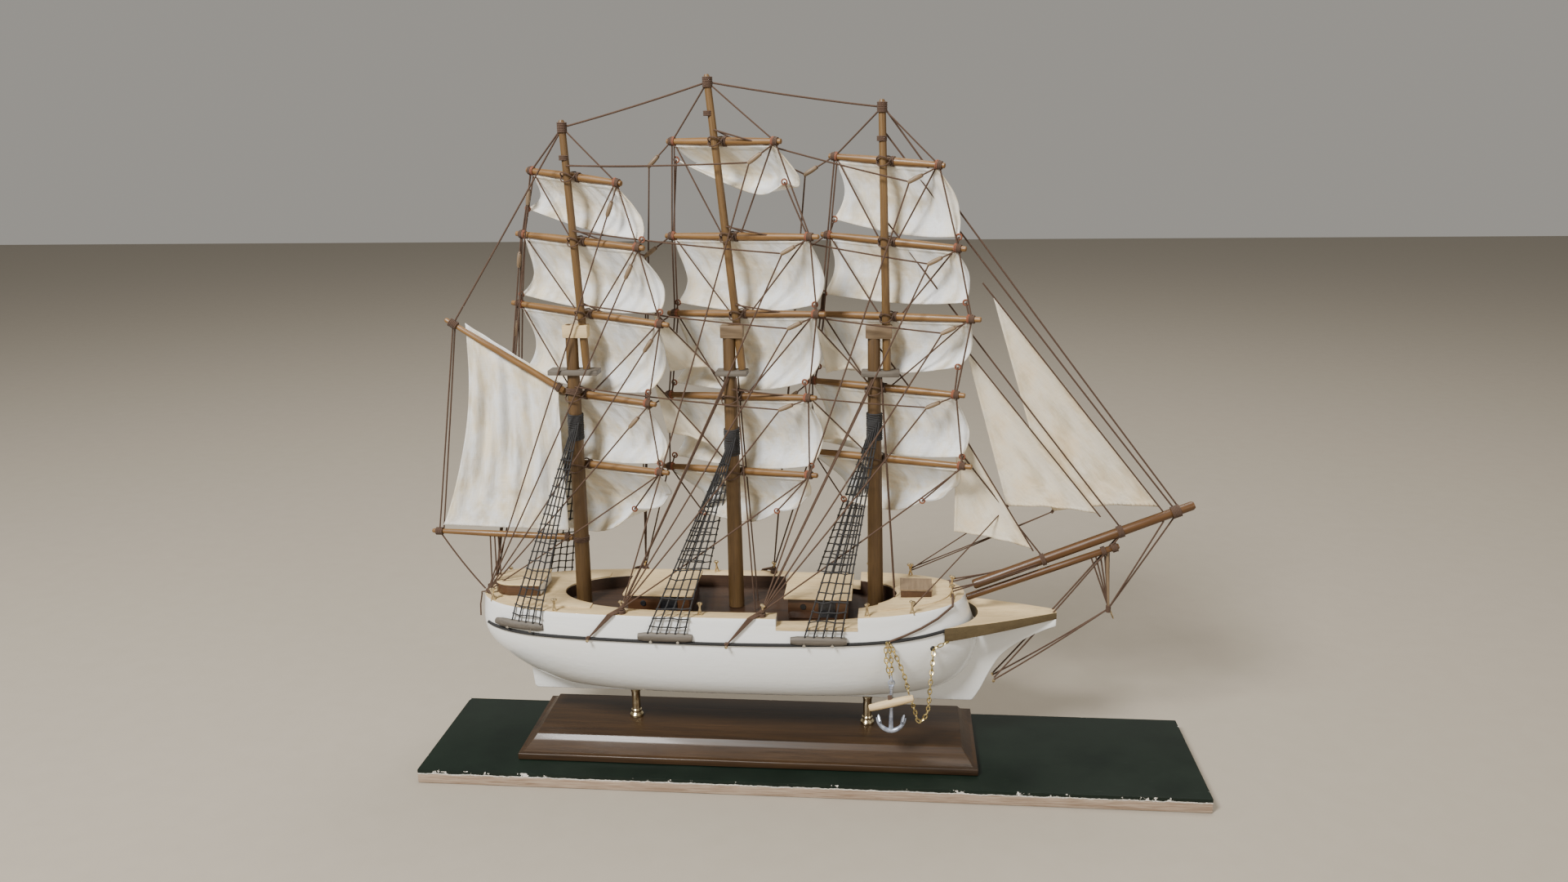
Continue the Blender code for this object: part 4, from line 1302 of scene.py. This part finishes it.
def staysails():
    """Four small sails between the masts, each on its own slanting stay."""
    for name, head, tack, clew in (
        ("upper_mizzen_staysail", (-0.0986, 0.0065, 0.3060), (-0.0622, 0.0045, 0.2690), (-0.0898, 0.0150, 0.2640)),
        ("lower_mizzen_staysail", (-0.0996, 0.0065, 0.2592), (-0.0622, 0.0045, 0.2172), (-0.0932, 0.0140, 0.2230)),
        ("upper_main_staysail", (0.0067, 0.0065, 0.2952), (0.0313, 0.0045, 0.2684), (0.0122, 0.0130, 0.2638)),
        ("lower_main_staysail", (0.0028, 0.0065, 0.2481), (0.0314, 0.0045, 0.2204), (0.0094, 0.0135, 0.2192)),
    ):
        triangular_sail(name, [Vector(p) for p in (head, tack, clew)], 0.0025, rows=16, waves=2)


# Thread rigging

STARBOARD_RAIL = {  # deck nails along each side: place along the ship, and distance from the centre line
    "stern": (-0.2090, 0.0190), "quarter": (-0.1624, 0.0360), "aft": (-0.1174, 0.0378),
    "waist_aft": (-0.0665, 0.0382), "waist": (-0.0265, 0.0382), "waist_fore": (0.0403, 0.0370),
    "bow": (0.0685, 0.0335), "stem": (0.0950, 0.0085),
}
SIDE_NAILS = {"quarter": (-0.1395, 0.0997), "waist": (-0.0490, 0.0987), "bow": (0.0534, 0.1012)}  # x and height
CHANNELS = {  # after end, forward end, and height of the underside
    "mizzen": (-0.2045, -0.1704, 0.1015), "main": (-0.1064, -0.0712, 0.0998), "fore": (-0.0082, 0.0276, 0.0998),
}
LADDERS = {  # x of the aftmost and the foremost shroud at the channel, and height at the mast
    "mizzen": (-0.1925, -0.1724, 0.2360), "main": (-0.0999, -0.0760, 0.2270), "fore": (0.0009, 0.0241, 0.2380),
}
JIBBOOM = (Vector((0.1088, 0, 0.1258)), Vector((0.2455, 0, 0.1828)))  # heel and tip
LOWER_BOOM = (Vector((0.1047, 0, 0.1168)), Vector((0.2005, 0, 0.1545)))
JIBBOOM_WRAP = Vector((0.2345, 0, 0.1805))
JIBBOOM_INNER_WRAP = Vector((0.2008, 0, 0.1665))
STRIKER_TIP = Vector((0.1962, 0, 0.1110))
GAFF = (Vector((-0.1570, 0, 0.2540)), Vector((-0.2325, 0, 0.3005)))
BOOM = (Vector((-0.1572, 0, 0.1535)), Vector((-0.2544, 0, 0.1565)))
LASHED = 0.90  # share of a yard's arm at which threads are tied to it
STAY_TOP_Z = 0.2640  # where the backstays leave the lower masts


def rail_nail(name, side, above=0.0035):
    x, half = STARBOARD_RAIL[name]
    return Vector((x, side * half, DECK_Z + sheer(x) + above))


def side_nail(name, side):
    return on_side(side_point(*SIDE_NAILS[name], 0.0014), side)


def stern_hub(side):
    """Where the mizzen's braces gather at the stern, on each side."""
    return Vector((-0.2160, side * 0.0088, DECK_Z + sheer(-0.2160) + 0.0022))


def rim_point(x, side, above=0.0008):
    """Just outside the deck's edge."""
    y = abs(side_point(x, DECK_Z - 0.0010, 0.0012).y)
    return Vector((x, side * y, DECK_Z + sheer(x) + above))


def sagged(a, b, sag=0.010, count=8):
    """Points from a to b with a sag of that share of the span."""
    a, b = Vector(a), Vector(b)
    drop = sag * (b - a).length
    return [a.lerp(b, i / count) - UP * (drop * 4 * (i / count) * (1 - i / count)) for i in range(count + 1)]


class Cordage:
    """One mesh of threads, wraps and knots."""

    def __init__(self, name, finish=None, radius=THREAD, sides=6):
        self.name, self.finish, self.radius, self.sides = name, finish or RIG, radius, sides
        self.bm = bmesh.new()
        self.layer = self.bm.verts.layers.float_vector.new("lay")

    def run(self, points, radius=None):
        add_tube(self.bm, points, radius or self.radius, self.sides, self.layer)
        return self

    def line(self, a, b, sag=0.010):
        return self.run(sagged(a, b, sag))

    def wrap(self, centre, axis, core, turns=4):
        """Turns of thread side by side round a rod of radius core."""
        axis = Vector(axis).normalized()
        pitch = 1.7 * self.radius
        for i in range(turns):
            place = Vector(centre) + axis * (pitch * (i - (turns - 1) / 2))
            add_ring(self.bm, place, axis, core + self.radius * 0.7, self.radius, 18, 6, self.layer)
        return self

    def knot(self, centre, size=0.0014, seed=1):
        rng = random.Random(seed)
        for _ in range(3):
            axis = Vector([rng.uniform(-1, 1) for _ in range(3)]).normalized()
            add_ring(self.bm, centre, axis, size * 0.6, self.radius, 12, 6, self.layer)
        return self

    def place(self, body, slot="rigging_thread"):
        made = finish_mesh(self.name, self.bm, self.finish, 80)
        fit(made, body)
        return made

    def between(self, yards, start, end):
        """Makes the threads' mesh and bakes it into world space, on no body; yards, start and end are not used."""
        made = finish_mesh(self.name, self.bm, self.finish, 80)
        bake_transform(made)
        return made


def tie_point(mast, tier, side, share=LASHED):
    """On a yard's surface: side -1 is the port end and 1 the starboard end."""
    return yard_point(mast, tier, side * share)


def mast_heads():
    """Wraps at the mastheads and the stays that run from head to head and down to the jibboom."""
    heads = {m: mast_point(m, MAST_LINES[m]["top"][1].z - 0.0045) for m in MASTS}
    stays = Cordage("head_stays", radius=0.0006)
    for m, at in heads.items():
        stays.wrap(at, (0, 0, 1), 0.0022, 6).wrap(at - UP * 0.018, (0, 0, 1), 0.0022, 3)
    for a, b in (("mizzen", "main"), ("main", "fore")):
        stays.line(heads[a], heads[b], 0.008)
    for z, end, shift in (
        (0.4275, JIBBOOM_WRAP, 0.001), (0.4135, JIBBOOM_WRAP, -0.001), (0.3610, JIBBOOM_INNER_WRAP, 0.0),
        (0.2850, Vector((0.1530, 0, 0.1450)), 0.0),
    ):
        start = mast_point("fore", z) + Vector((0.0010, 0.0030 if z > CAP_TOP_Z else 0.0042, 0))
        stays.line(start, end + Vector((shift, 0.0024, shift)), 0.004)
    stays.place("root")
    return heads


def boom_point(boom, x, y=0.0, below=0.0):
    """On a boom's axis at x, or that far beside and below it."""
    heel, tip = boom
    return Vector((x, y, heel.z + (x - heel.x) * (tip.z - heel.z) / (tip.x - heel.x) - below))


def bowsprit_rigging():
    ropes = Cordage("bowsprit_rigging")
    along = (JIBBOOM[1] - JIBBOOM[0]).normalized()
    for x, turns in ((JIBBOOM_WRAP.x, 6), (JIBBOOM_INNER_WRAP.x, 4), (0.1530, 3)):
        ropes.wrap(boom_point(JIBBOOM, x), along, 0.0032, turns)
    lower = (LOWER_BOOM[1] - LOWER_BOOM[0]).normalized()
    for share, turns in ((0.97, 4), (0.90, 3)):
        ropes.wrap(LOWER_BOOM[0] + lower * (0.103 * share), lower, 0.0023, turns)
    for y, x in ((0.0012, 0.2345), (-0.0012, 0.2270)):
        ropes.line(boom_point(JIBBOOM, x, y, 0.003), STRIKER_TIP, 0.004)
    for k in range(5):
        start = boom_point(LOWER_BOOM, 0.1835 + 0.0028 * k, 0.0008 * (k - 2), 0.002)
        ropes.line(start, STRIKER_TIP + UP * 0.001, 0.0)
    for y in (-0.0038, 0.0038):
        ropes.line(STRIKER_TIP, (0.1240, y, 0.0600), 0.012)
        ropes.line((0.2030, y * 0.3, 0.1650), (0.1240, y, 0.0615), 0.010)
    for side in (-1, 1):
        ropes.line(rail_nail("stem", side, 0.004), (0.1500, side * 0.0028, 0.1425), 0.006)
        route = []
        for t in (0.02, 0.25, 0.5, 0.75, 0.98):
            x, z = SIDE_NAILS["bow"]
            at = on_side(side_point(x + 0.0420 * t, z + (DECK_Z - z) * t, 0.0010), side)
            route.append(at + UP * (sheer(at.x) * t**3))
        ropes.run([*route, rail_nail("stem", side, 0.002)], 0.0008)
        ropes.line(rail_nail("stem", side, 0.006), (0.1480, side * 0.0028, 0.1400), 0.012)
    ropes.wrap(STRIKER_TIP, (0, 0, 1), 0.0008, 5)
    ropes.place("root")
    foot = Vector((0.1935, 0, 0.1500))
    profile = ((0, 0.0010), (0.3, 0.0011), (0.9, 0.0008), (1, 0.0005))
    end = STRIKER_TIP + (STRIKER_TIP - foot).normalized() * 0.0022
    stick = rod("dolphin_striker", foot, end, profile, TOGGLE, 12)
    pin = rod(
        "striker_pin", STRIKER_TIP + Vector((0.0005, 0, 0.0005)), STRIKER_TIP + Vector((0.0038, 0, -0.0072)),
        ((0, 0.0006), (0.9, 0.0005), (1, 0.0001)), NAIL_BRASS, 10,
    )
    for piece, slot in ((stick, "bowsprit_wood"), (pin, "brass")):
        fit(piece, "root")


def yard_rigging(heads):
    """Per mast: lashings to the mast, knots, lifts, and the threads that link the ends of its yards."""
    for mast in MASTS:
        body = f"{mast}_yards"
        ties = Cordage(f"{mast}_yard_lashings", radius=0.00045)
        links = Cordage(f"{mast}_yard_links")
        rings = Cordage(f"{mast}_sail_rings", RED_TIE, 0.00048)
        for place, tier in enumerate(TIERS):
            port, starboard = YARD_LINES[mast, tier]
            along = (starboard - port).normalized()
            middle = YARD_MIDDLES[mast, tier]
            mast_axis = mast_point(mast, middle.z)
            core = 0.0045 if middle.z < CAP_TOP_Z else 0.0027
            for step in (-0.0042, 0.0042):
                ties.wrap(middle + along * step, along, 0.0025, 3)
            outward = (middle - mast_axis).normalized()
            for sign in (-1, 1):
                loop = []
                for i in range(17):
                    a = 2 * math.pi * i / 16
                    around = mast_axis + (outward * math.cos(a) + along * math.sin(a)) * (core + 0.0013)
                    lift = sign * 0.0028 * math.cos(a)
                    reach = outward * (0.0052 * max(0, math.cos(a)) ** 2)
                    loop.append(around + reach + UP * lift)
                ties.run(loop)
            for side in (-1, 1):
                at = tie_point(mast, tier, side)
                ties.wrap(at, along, 0.0019, 5)
                ties.knot(at + UP * 0.0016, 0.0018, f"{mast}{tier}{side}")
                rings.wrap(tie_point(mast, tier, side, LASHED - 0.035), along, 0.0019, 2)
                inboard = tie_point(mast, tier, side, LASHED - 0.03)
                rings.knot(inboard + UP * 0.0018, 0.0016, f"ring{mast}{tier}{side}")
                if place:
                    above = TIERS[place - 1]
                    links.line(tie_point(mast, above, side), at, 0.004)
                    if place < 4:
                        inner = yard_point(mast, tier, side * 0.10)
                        links.line(tie_point(mast, above, side, LASHED - 0.03), inner - UP * 0.001, 0.006)
                if side == 1 and place < 3:
                    upper, under = (tie_point(mast, TIERS[place + step], -1, 0.86) for step in (0, 1))
                    links.line(upper - UP * 0.003, under, 0.003)
            sail_rings(rings, links, mast, tier, place)
        ties.place(body)
        links.place(body)
        rings.place(body)
        for side, label in ((-1, "port"), (1, "starboard")):
            end = tie_point(mast, "royal", side)
            Cordage(f"{mast}_royal_lift_{label}").line(end, heads[mast], 0.003).between(body, end, heads[mast])


def sail_rings(rings, links, mast, tier, place):
    """A small ring at each clew, tied to the yard below, or above it on a course."""
    _, clews, _ = square_sail_corners(mast, tier)
    for side, clew in zip((-1, 1), clews):
        add_ring(rings.bm, clew, (0.2, 1, 0.1), 0.0017, 0.0005, 18, 8, rings.layer)
        if tier == "course":
            target = yard_point(mast, tier, side * LASHED)
        else:
            target = yard_point(mast, TIERS[place + 1], side * 0.88)
        links.line(clew, target, 0.01)


HOLDERS = {"fore": "main", "main": "mizzen"}  # the mast that each mast's braces lead aft to
BRACE_NAILS = {"fore": "waist", "main": "aft"}


def brace_end(mast, side):
    return stern_hub(side) if mast == "mizzen" else rail_nail(BRACE_NAILS[mast], side)


def braces():
    """From each yard's end to a wooden toggle, then a thread down to the nails and one aft to the next mast."""
    for mast in MASTS:
        body = f"{mast}_yards"
        for tier in TIERS:
            for side, label in ((1, "port"), (-1, "starboard")):
                start = tie_point(mast, tier, -side, LASHED + 0.02)
                nail = brace_end(mast, side)
                name = f"{mast}_{tier}_brace_{label}"
                if tier == "course":
                    cord = Cordage(name).line(start, nail, 0.006).knot(nail, 0.0016, name)
                    cord.between(body, start, nail)
                    continue
                direction = (nail - start).normalized()
                if mast != "mizzen":
                    holder = HOLDERS[mast]
                    z = YARD_MIDDLES[holder, tier].z + 0.0068
                    aft = mast_point(holder, z) + Vector((0.001, side * 0.0034, 0))
                    direction = (direction + (aft - start).normalized() * 1.1).normalized()
                near, far = start + direction * 0.0125, start + direction * 0.0205
                cord = Cordage(name).line(start, near, 0.01).line(far, nail, 0.006).knot(near, 0.0013, name)
                cord.between(body, start, nail)
                if mast != "mizzen":
                    lead = Cordage(f"{mast}_{tier}_lead_{label}").line(far, aft, 0.008)
                    lead.between(body, far, aft)
                profile = ((0, 0.0007), (0.12, 0.0013), (0.5, 0.0015), (0.88, 0.0013), (1, 0.0007))
                ends = near - direction * 0.0012, far + direction * 0.0012
                toggle = rod(f"{mast}_{tier}_toggle_{label}", *ends, profile, TOGGLE, 12)
                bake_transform(toggle)


def backstays():
    """From the tops down to the deck nails, and the bundles that run on over the side to the nails below."""
    ropes = Cordage("backstays")
    for mast, rail, nail in (("main", "aft", "quarter"), ("fore", "waist", "waist")):
        top = mast_point(mast, STAY_TOP_Z) + Vector((0, -0.0040, 0))
        for k in range(2):
            ropes.line(top + UP * (0.0014 * k), rail_nail(rail, -1, 0.003 + 0.001 * k), 0.004)
        for side in (-1, 1):
            x_rail, x_side = STARBOARD_RAIL[rail][0], SIDE_NAILS[nail][0]
            for k in range(4):
                over = rim_point(x_rail - (x_rail - x_side) * (0.22 + 0.05 * k), side)
                below = side_nail(nail, side) + Vector((0.0004 * k, side * 0.0004, 0.0004 * k))
                ropes.run([rail_nail(rail, side, 0.002 + 0.0008 * k), over, below])
            ropes.knot(rail_nail(rail, side), 0.0022, f"{mast}{side}")
            ropes.knot(side_nail(nail, side), 0.0019, f"n{mast}{side}")
            ropes.wrap(rail_nail(rail, side, 0.001), (0, 0, 1), 0.0016, 3)
    for side in (-1, 1):
        hub = stern_hub(side)
        ropes.knot(hub, 0.0024, 5 + side)
        rim = Vector((-0.2212, side * 0.0066, DECK_Z + sheer(-0.2212) - 0.001))
        below = [rim + Vector((x, side * -0.001, z)) for x, z in ((-0.0020, -0.0080), (-0.0024, -0.0160))]
        ropes.run([hub, rim + UP * 0.0016, rim, *below])
        ropes.line(hub, rail_nail("stern", side), 0.0)
    for mast in ("main", "fore"):
        foot = mast_point(mast, DECK_Z + 0.001)
        for y in (-0.0045, 0.0045):
            top = mast_point(mast, STAY_TOP_Z) + Vector((0.0045, y, 0))
            ropes.line(top, foot + Vector((0.014, y * 2, -0.02)), 0.0)
    ropes.place("root")


def jib_sheets():
    """Two threads from each big head sail's clew to the bow nails: three to port in all, one to starboard."""
    ropes = Cordage("jib_sheets", radius=0.00045)
    for node, spots in (("flying_jib", ((1, 0.003), (1, 0.005))), ("outer_jib", ((1, 0.004), (-1, 0.004)))):
        clew = jib_corners(node)[2]
        for side, above in spots:
            ropes.line(clew, rail_nail("bow", side, above), 0.004)
        ropes.knot(clew, 0.0014, node)
    ropes.place("root")


def spanker_rigging():
    gaff_end = Vector((-0.2275, 0, 0.2975))
    boom_end = Vector((-0.2495, 0, 0.1563))
    along = (GAFF[1] - GAFF[0]).normalized()
    ropes = Cordage("spanker_lashings")
    ropes.wrap(gaff_end, along, 0.0019, 6).knot(gaff_end - UP * 0.001, 0.0020, 3)
    ropes.wrap(boom_end, (1, 0, 0), 0.0018, 5).knot(boom_end + UP * 0.001, 0.0020, 4)
    ropes.line(gaff_end, boom_end, 0.003)
    ropes.line(gaff_end + Vector((0.001, 0.001, 0)), boom_end + Vector((0.0025, 0.001, 0)), 0.006)
    ropes.wrap(GAFF[0].lerp(GAFF[1], 0.05), along, 0.0021, 3)
    ropes.wrap(BOOM[0].lerp(BOOM[1], 0.04), (1, 0, 0), 0.0021, 3)
    ropes.place("spanker")
    head = mast_point("mizzen", 0.4180)
    Cordage("peak_halyard", radius=0.0006).line(gaff_end, head, 0.003).between("spanker", gaff_end, head)
    tail = stern_hub(-1) + Vector((-0.003, 0.004, 0))
    Cordage("boom_sheet_outer").line(boom_end, tail, 0.035).between("spanker", boom_end, tail)
    for k, x in enumerate((-0.2145, -0.2115, -0.2090)):
        start, end = Vector((x, 0, 0.1545)), Vector((x - 0.001, 0.0015 * (k - 1), DECK_Z + sheer(x) + 0.0022))
        Cordage(f"boom_sheet_{k + 1}").line(start, end, 0.0).between("spanker", start, end)


def gooseneck():
    """The thread collars that hold the gaff's and the boom's inner ends to the mizzen mast."""
    ropes = Cordage("spanker_collars")
    for z in (0.1530, 0.2545):
        at = mast_point("mizzen", z)
        ropes.wrap(at, (0, 0, 1), 0.0045, 4)
    ropes.place("root")


# Ratlines, channels and nails


def shroud_at(points, z):
    """The point at a height on a polyline that rises all the way."""
    for low, high in zip(points, points[1:]):
        if z <= high.z:
            return low.lerp(high, (z - low.z) / (high.z - low.z))
    return points[-1].copy()


def ladders():
    """Five shrouds a side from the channel, over the deck's edge, to the mast, with rungs knotted across them."""
    for mast, (x0, x1, top_z) in LADDERS.items():
        channel_top = CHANNELS[mast][2] + 0.0052
        for side, label in SIDES:
            net = Cordage(f"{mast}_ratlines_{label}", NET, 0.00055)
            shrouds = []
            for k in range(5):
                x = x0 + (x1 - x0) * k / 4
                foot = on_side(side_point(x, channel_top, 0.0020), side)
                top = mast_point(mast, top_z - 0.010 + 0.002 * k) + Vector((0.0016 * (k - 2), side * 0.0046, 0))
                share = (DECK_Z + sheer(x) - foot.z) / (top.z - foot.z)
                shrouds.append([foot, rim_point(foot.x + (top.x - foot.x) * share, side), top])
                net.run(shrouds[-1])
            wobble = random.Random(f"{mast}{side}")
            for z in np.arange(channel_top + 0.0050, top_z - 0.016, 0.0058):
                rung = [shroud_at(s, float(z) + wobble.uniform(-0.0006, 0.0006)) for s in shrouds]
                rung = [p + Vector((0, side * 0.0007, 0)) for p in rung]
                ends = [rung[0] + (rung[0] - rung[1]) * 0.14, rung[-1] + (rung[-1] - rung[-2]) * 0.14]
                net.run([ends[0], *rung, ends[1]], 0.00045)
                for p in rung:
                    add_ring(net.bm, p, shrouds[2][2] - shrouds[2][1], 0.0006, 0.0004, 8, 5, net.layer)
            net.place("root", "ratline_thread")
        wraps = Cordage(f"{mast}_shroud_collar", NET, 0.00062)
        for z in np.arange(top_z - 0.014, top_z + 0.003, 0.0011):
            wraps.wrap(mast_point(mast, float(z)), (0.1 * math.sin(z * 900), 0.1 * math.cos(z * 700), 1), 0.0043, 1)
        wraps.place("root", "ratline_thread")


def channels():
    """The rounded strips that spread the ratlines, each held by two nails."""
    for mast, (x0, x1, z) in CHANNELS.items():
        for side, label in SIDES:
            points = [on_side(side_point(x0 + (x1 - x0) * i / 8, z + 0.0025, 0.0010), side) for i in range(9)]
            bm = bmesh.new()
            radii = [0.0023] + [0.0030] * 7 + [0.0023]
            add_tube(bm, points, radii, 16)
            bmesh.ops.scale(bm, vec=(1, 0.75, 1.0), space=Matrix.Translation((0, -points[4].y, 0)), verts=bm.verts)
            strip = grain(finish_mesh(f"{mast}_channel_{label}", bm, GREY_WOOD), (1, 0, 0))
            fit(strip, "root")
            bm = bmesh.new()
            for i in (2, 6):
                add_nail(bm, points[i] + Vector((0, side * 0.0008, -0.0014)), Vector((0, side, -0.3)), 0.0028)
            nails = finish_mesh(f"{mast}_channel_nails_{label}", bm, STEEL)
            fit(nails, "root")


def add_nail(bm, base, direction, length, radius=0.00045):
    direction = Vector(direction).normalized()
    steps = ((0, 1), (0.86, 1), (0.88, 2.1), (0.96, 2.2), (1.0, 1.4))
    add_tube(bm, [base + direction * (length * t) for t, _ in steps], [radius * s for _, s in steps], 10)


def nails():
    """Pairs of brass nails along the deck's edge, driven so that they cross, and single ones in the hull's side."""
    bm = bmesh.new()
    for name in STARBOARD_RAIL:
        for side in (-1, 1):
            base = rail_nail(name, side, -0.001)
            lean = random.Random(f"{name}{side}")
            for k in (-1, 1):
                tilt = Vector((0.24 * k + lean.uniform(-0.08, 0.08), lean.uniform(-0.15, 0.05) * side, 1))
                add_nail(bm, base - Vector((0.0014 * k, 0, 0)), tilt, 0.0098, 0.00055)
    for name in SIDE_NAILS:
        for side in (-1, 1):
            base = side_nail(name, side)
            add_nail(bm, base - Vector((0, side * 0.002, 0)), Vector((0, side, -0.2)), 0.0052, 0.0005)
    for y in (-0.0042, 0.0042):
        add_nail(bm, Vector((0.1236, y * 0.6, 0.0597)), Vector((0, math.copysign(1, y), 0)), 0.0030, 0.0005)
    made = finish_mesh("belaying_nails", bm, NAIL_BRASS)
    fit(made, "root")


# Anchor


def add_chain(bm, points, pitch=0.0030, wire=0.00046):
    """Oval links, each turned a quarter from the last, along a curve."""
    curve = smooth_line([tuple(p) for p in points], 12)
    steps = np.linalg.norm(np.diff(curve, axis=0), axis=1)
    run = np.concatenate([[0], np.cumsum(steps)])
    count = max(2, int(run[-1] / pitch))
    for i in range(count):
        at = [run[-1] * (i + k) / count for k in (0.0, 0.5, 1.0)]
        a, middle, b = (Vector([np.interp(s, run, curve[:, k]) for k in range(3)]) for s in at)
        along = (b - a).normalized()
        side = along.cross(Vector((0, 1, 0.01))).normalized()
        across = along.cross(side)
        wide = side if i % 2 else across
        thin = across if i % 2 else side
        ring = []
        for k in range(14):
            t = 2 * math.pi * k / 14
            c = middle + along * (math.cos(t) * pitch * 0.66) + wide * (math.sin(t) * pitch * 0.36)
            normal = (along * math.cos(t) + wide * math.sin(t)).normalized()
            turns = np.arange(5) * 2 * math.pi / 5
            ring.append([bm.verts.new(c + (normal * math.cos(u) + thin * math.sin(u)) * wire) for u in turns])
        for k in range(14):
            first, second = ring[k], ring[(k + 1) % 14]
            for j in range(5):
                bm.faces.new((first[j], first[(j + 1) % 5], second[(j + 1) % 5], second[j]))


def anchor():
    low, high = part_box("anchor")
    x, y = (low.x + high.x) / 2, (low.y + high.y) / 2
    ring_z, crown_z, arm = 0.0735, 0.0418, 0.0112
    middle = Vector((x, y, crown_z + arm))
    bm = bmesh.new()
    shank = ((0, 0.0013), (0.1, 0.0014), (0.5, 0.0011), (0.92, 0.0010), (0.94, 0.0016), (1, 0.0016))
    add_tube(bm, [Vector((x, y, crown_z + (ring_z - crown_z) * t)) for t, _ in shank], [r for _, r in shank], 14)

    def spoke(degrees):
        """From the arms' centre to their curve."""
        turn = math.radians(degrees)
        return Vector((0.0092 * math.sin(turn), 0, -arm * math.cos(turn)))

    arc = range(-78, 79, 6)
    add_tube(bm, [middle + spoke(d) for d in arc], [0.0007 + 0.0010 * (1 - abs(d) / 78) ** 0.6 for d in arc], 12)
    for side in (-1, 1):
        tip, heel = middle + spoke(side * 88) * 1.02, middle + spoke(side * 54)
        inward = -spoke(side * 70).normalized()
        width, broad = Vector((0, 0.0030, 0)), heel.lerp(tip, 0.45)
        palm = [heel + width * 0.4, heel - width * 0.4, broad - width, tip, broad + width]
        ring_solid(bm, [[p + inward * 0.0016 for p in palm], [p + inward * 0.0007 for p in palm]], "ngon")
    add_ring(bm, (x, y, ring_z + 0.0017), (0, 1, 0), 0.0019, 0.0005, 24, 8)
    add_ring(bm, (x, y - 0.0012, ring_z + 0.0050), (1, 0, 0.2), 0.0020, 0.0006, 24, 8)
    made = finish_mesh("anchor_cast", bm, IRON)
    fit(made, "anchor", "anchor")
    a, b, _ = axis_of("anchor_stock")
    if a.x > b.x:
        a, b = b, a
    stock = rod(
        "anchor_stock_bar", a, b,
        ((0, 0.0018), (0.02, 0.0022), (0.25, 0.0025), (0.5, 0.0026), (0.75, 0.0025), (0.98, 0.0022), (1, 0.0018)),
        PALE_WOOD, 20,
    )
    fit(stock, "anchor", "anchor_stock")
    lash = Cordage("anchor_lashing", radius=0.0004)
    lash.wrap((x, y - 0.0014, (a.z + b.z) / 2), (1, 0, 0.3), 0.0034, 4)
    lash.place("anchor")
    nail = side_nail("bow", -1)
    top = Vector((x, y, ring_z + 0.0060))
    strands = bmesh.new()
    for end, share, shifts in (
        (top, 0.5, ((0, 0, 0), (0.0010, -0.0010, 0), (0, 0, 0))),
        (top, 0.5, ((-0.0010, 0, 0), (-0.0022, -0.0006, 0), (-0.0010, 0, -0.0006))),
        (b, 0.55, ((0.0012, 0, 0), (0.0010, -0.0008, 0), (-0.003, 0, 0.0030))),
    ):
        route = nail, nail.lerp(end, share), end
        add_chain(strands, [point + Vector(shift) for point, shift in zip(route, shifts)])
    made = finish_mesh("anchor_chain", strands, CHAIN)
    fit(made, "anchor")
    loop = bmesh.new()
    hole = side_point(*HAWSE, 0.0008)
    low_point = Vector((0.0740, y - 0.0005, 0.0490))
    add_chain(loop, [
        b + Vector((-0.001, 0, -0.0020)), Vector((0.0708, y - 0.001, 0.0570)), low_point,
        Vector((0.0790, y, 0.0560)), Vector((0.0806, y + 0.0005, 0.0760)), hole + Vector((0.0005, -0.001, -0.001)),
    ])
    slack = finish_mesh("anchor_chain_slack", loop, CHAIN)
    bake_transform(slack)
    short = bmesh.new()
    add_chain(short, [hole, hole + Vector((0.005, -0.0006, 0.0030)), hole + Vector((0.0100, 0.0010, 0.0050))])
    made = finish_mesh("hawse_chain", short, CHAIN)
    fit(made, "root")


camera()
studio()
display_board()
plinth()
posts()
hull()
raised_decks()
keel_plank()
head_rail()
stripe_and_holes()
house("aft_deckhouse", (-0.0955, -0.0850), -0.1072)
house("fore_deckhouse", (0.0088, 0.0190), -0.0016)
poop_house()
locker()
masts()
yards()
spars()
square_sails()
head_sails()
spanker_sail()
staysails()
yard_rigging(mast_heads())
bowsprit_rigging()
braces()
backstays()
jib_sheets()
spanker_rigging()
gooseneck()
ladders()
channels()
nails()
anchor()
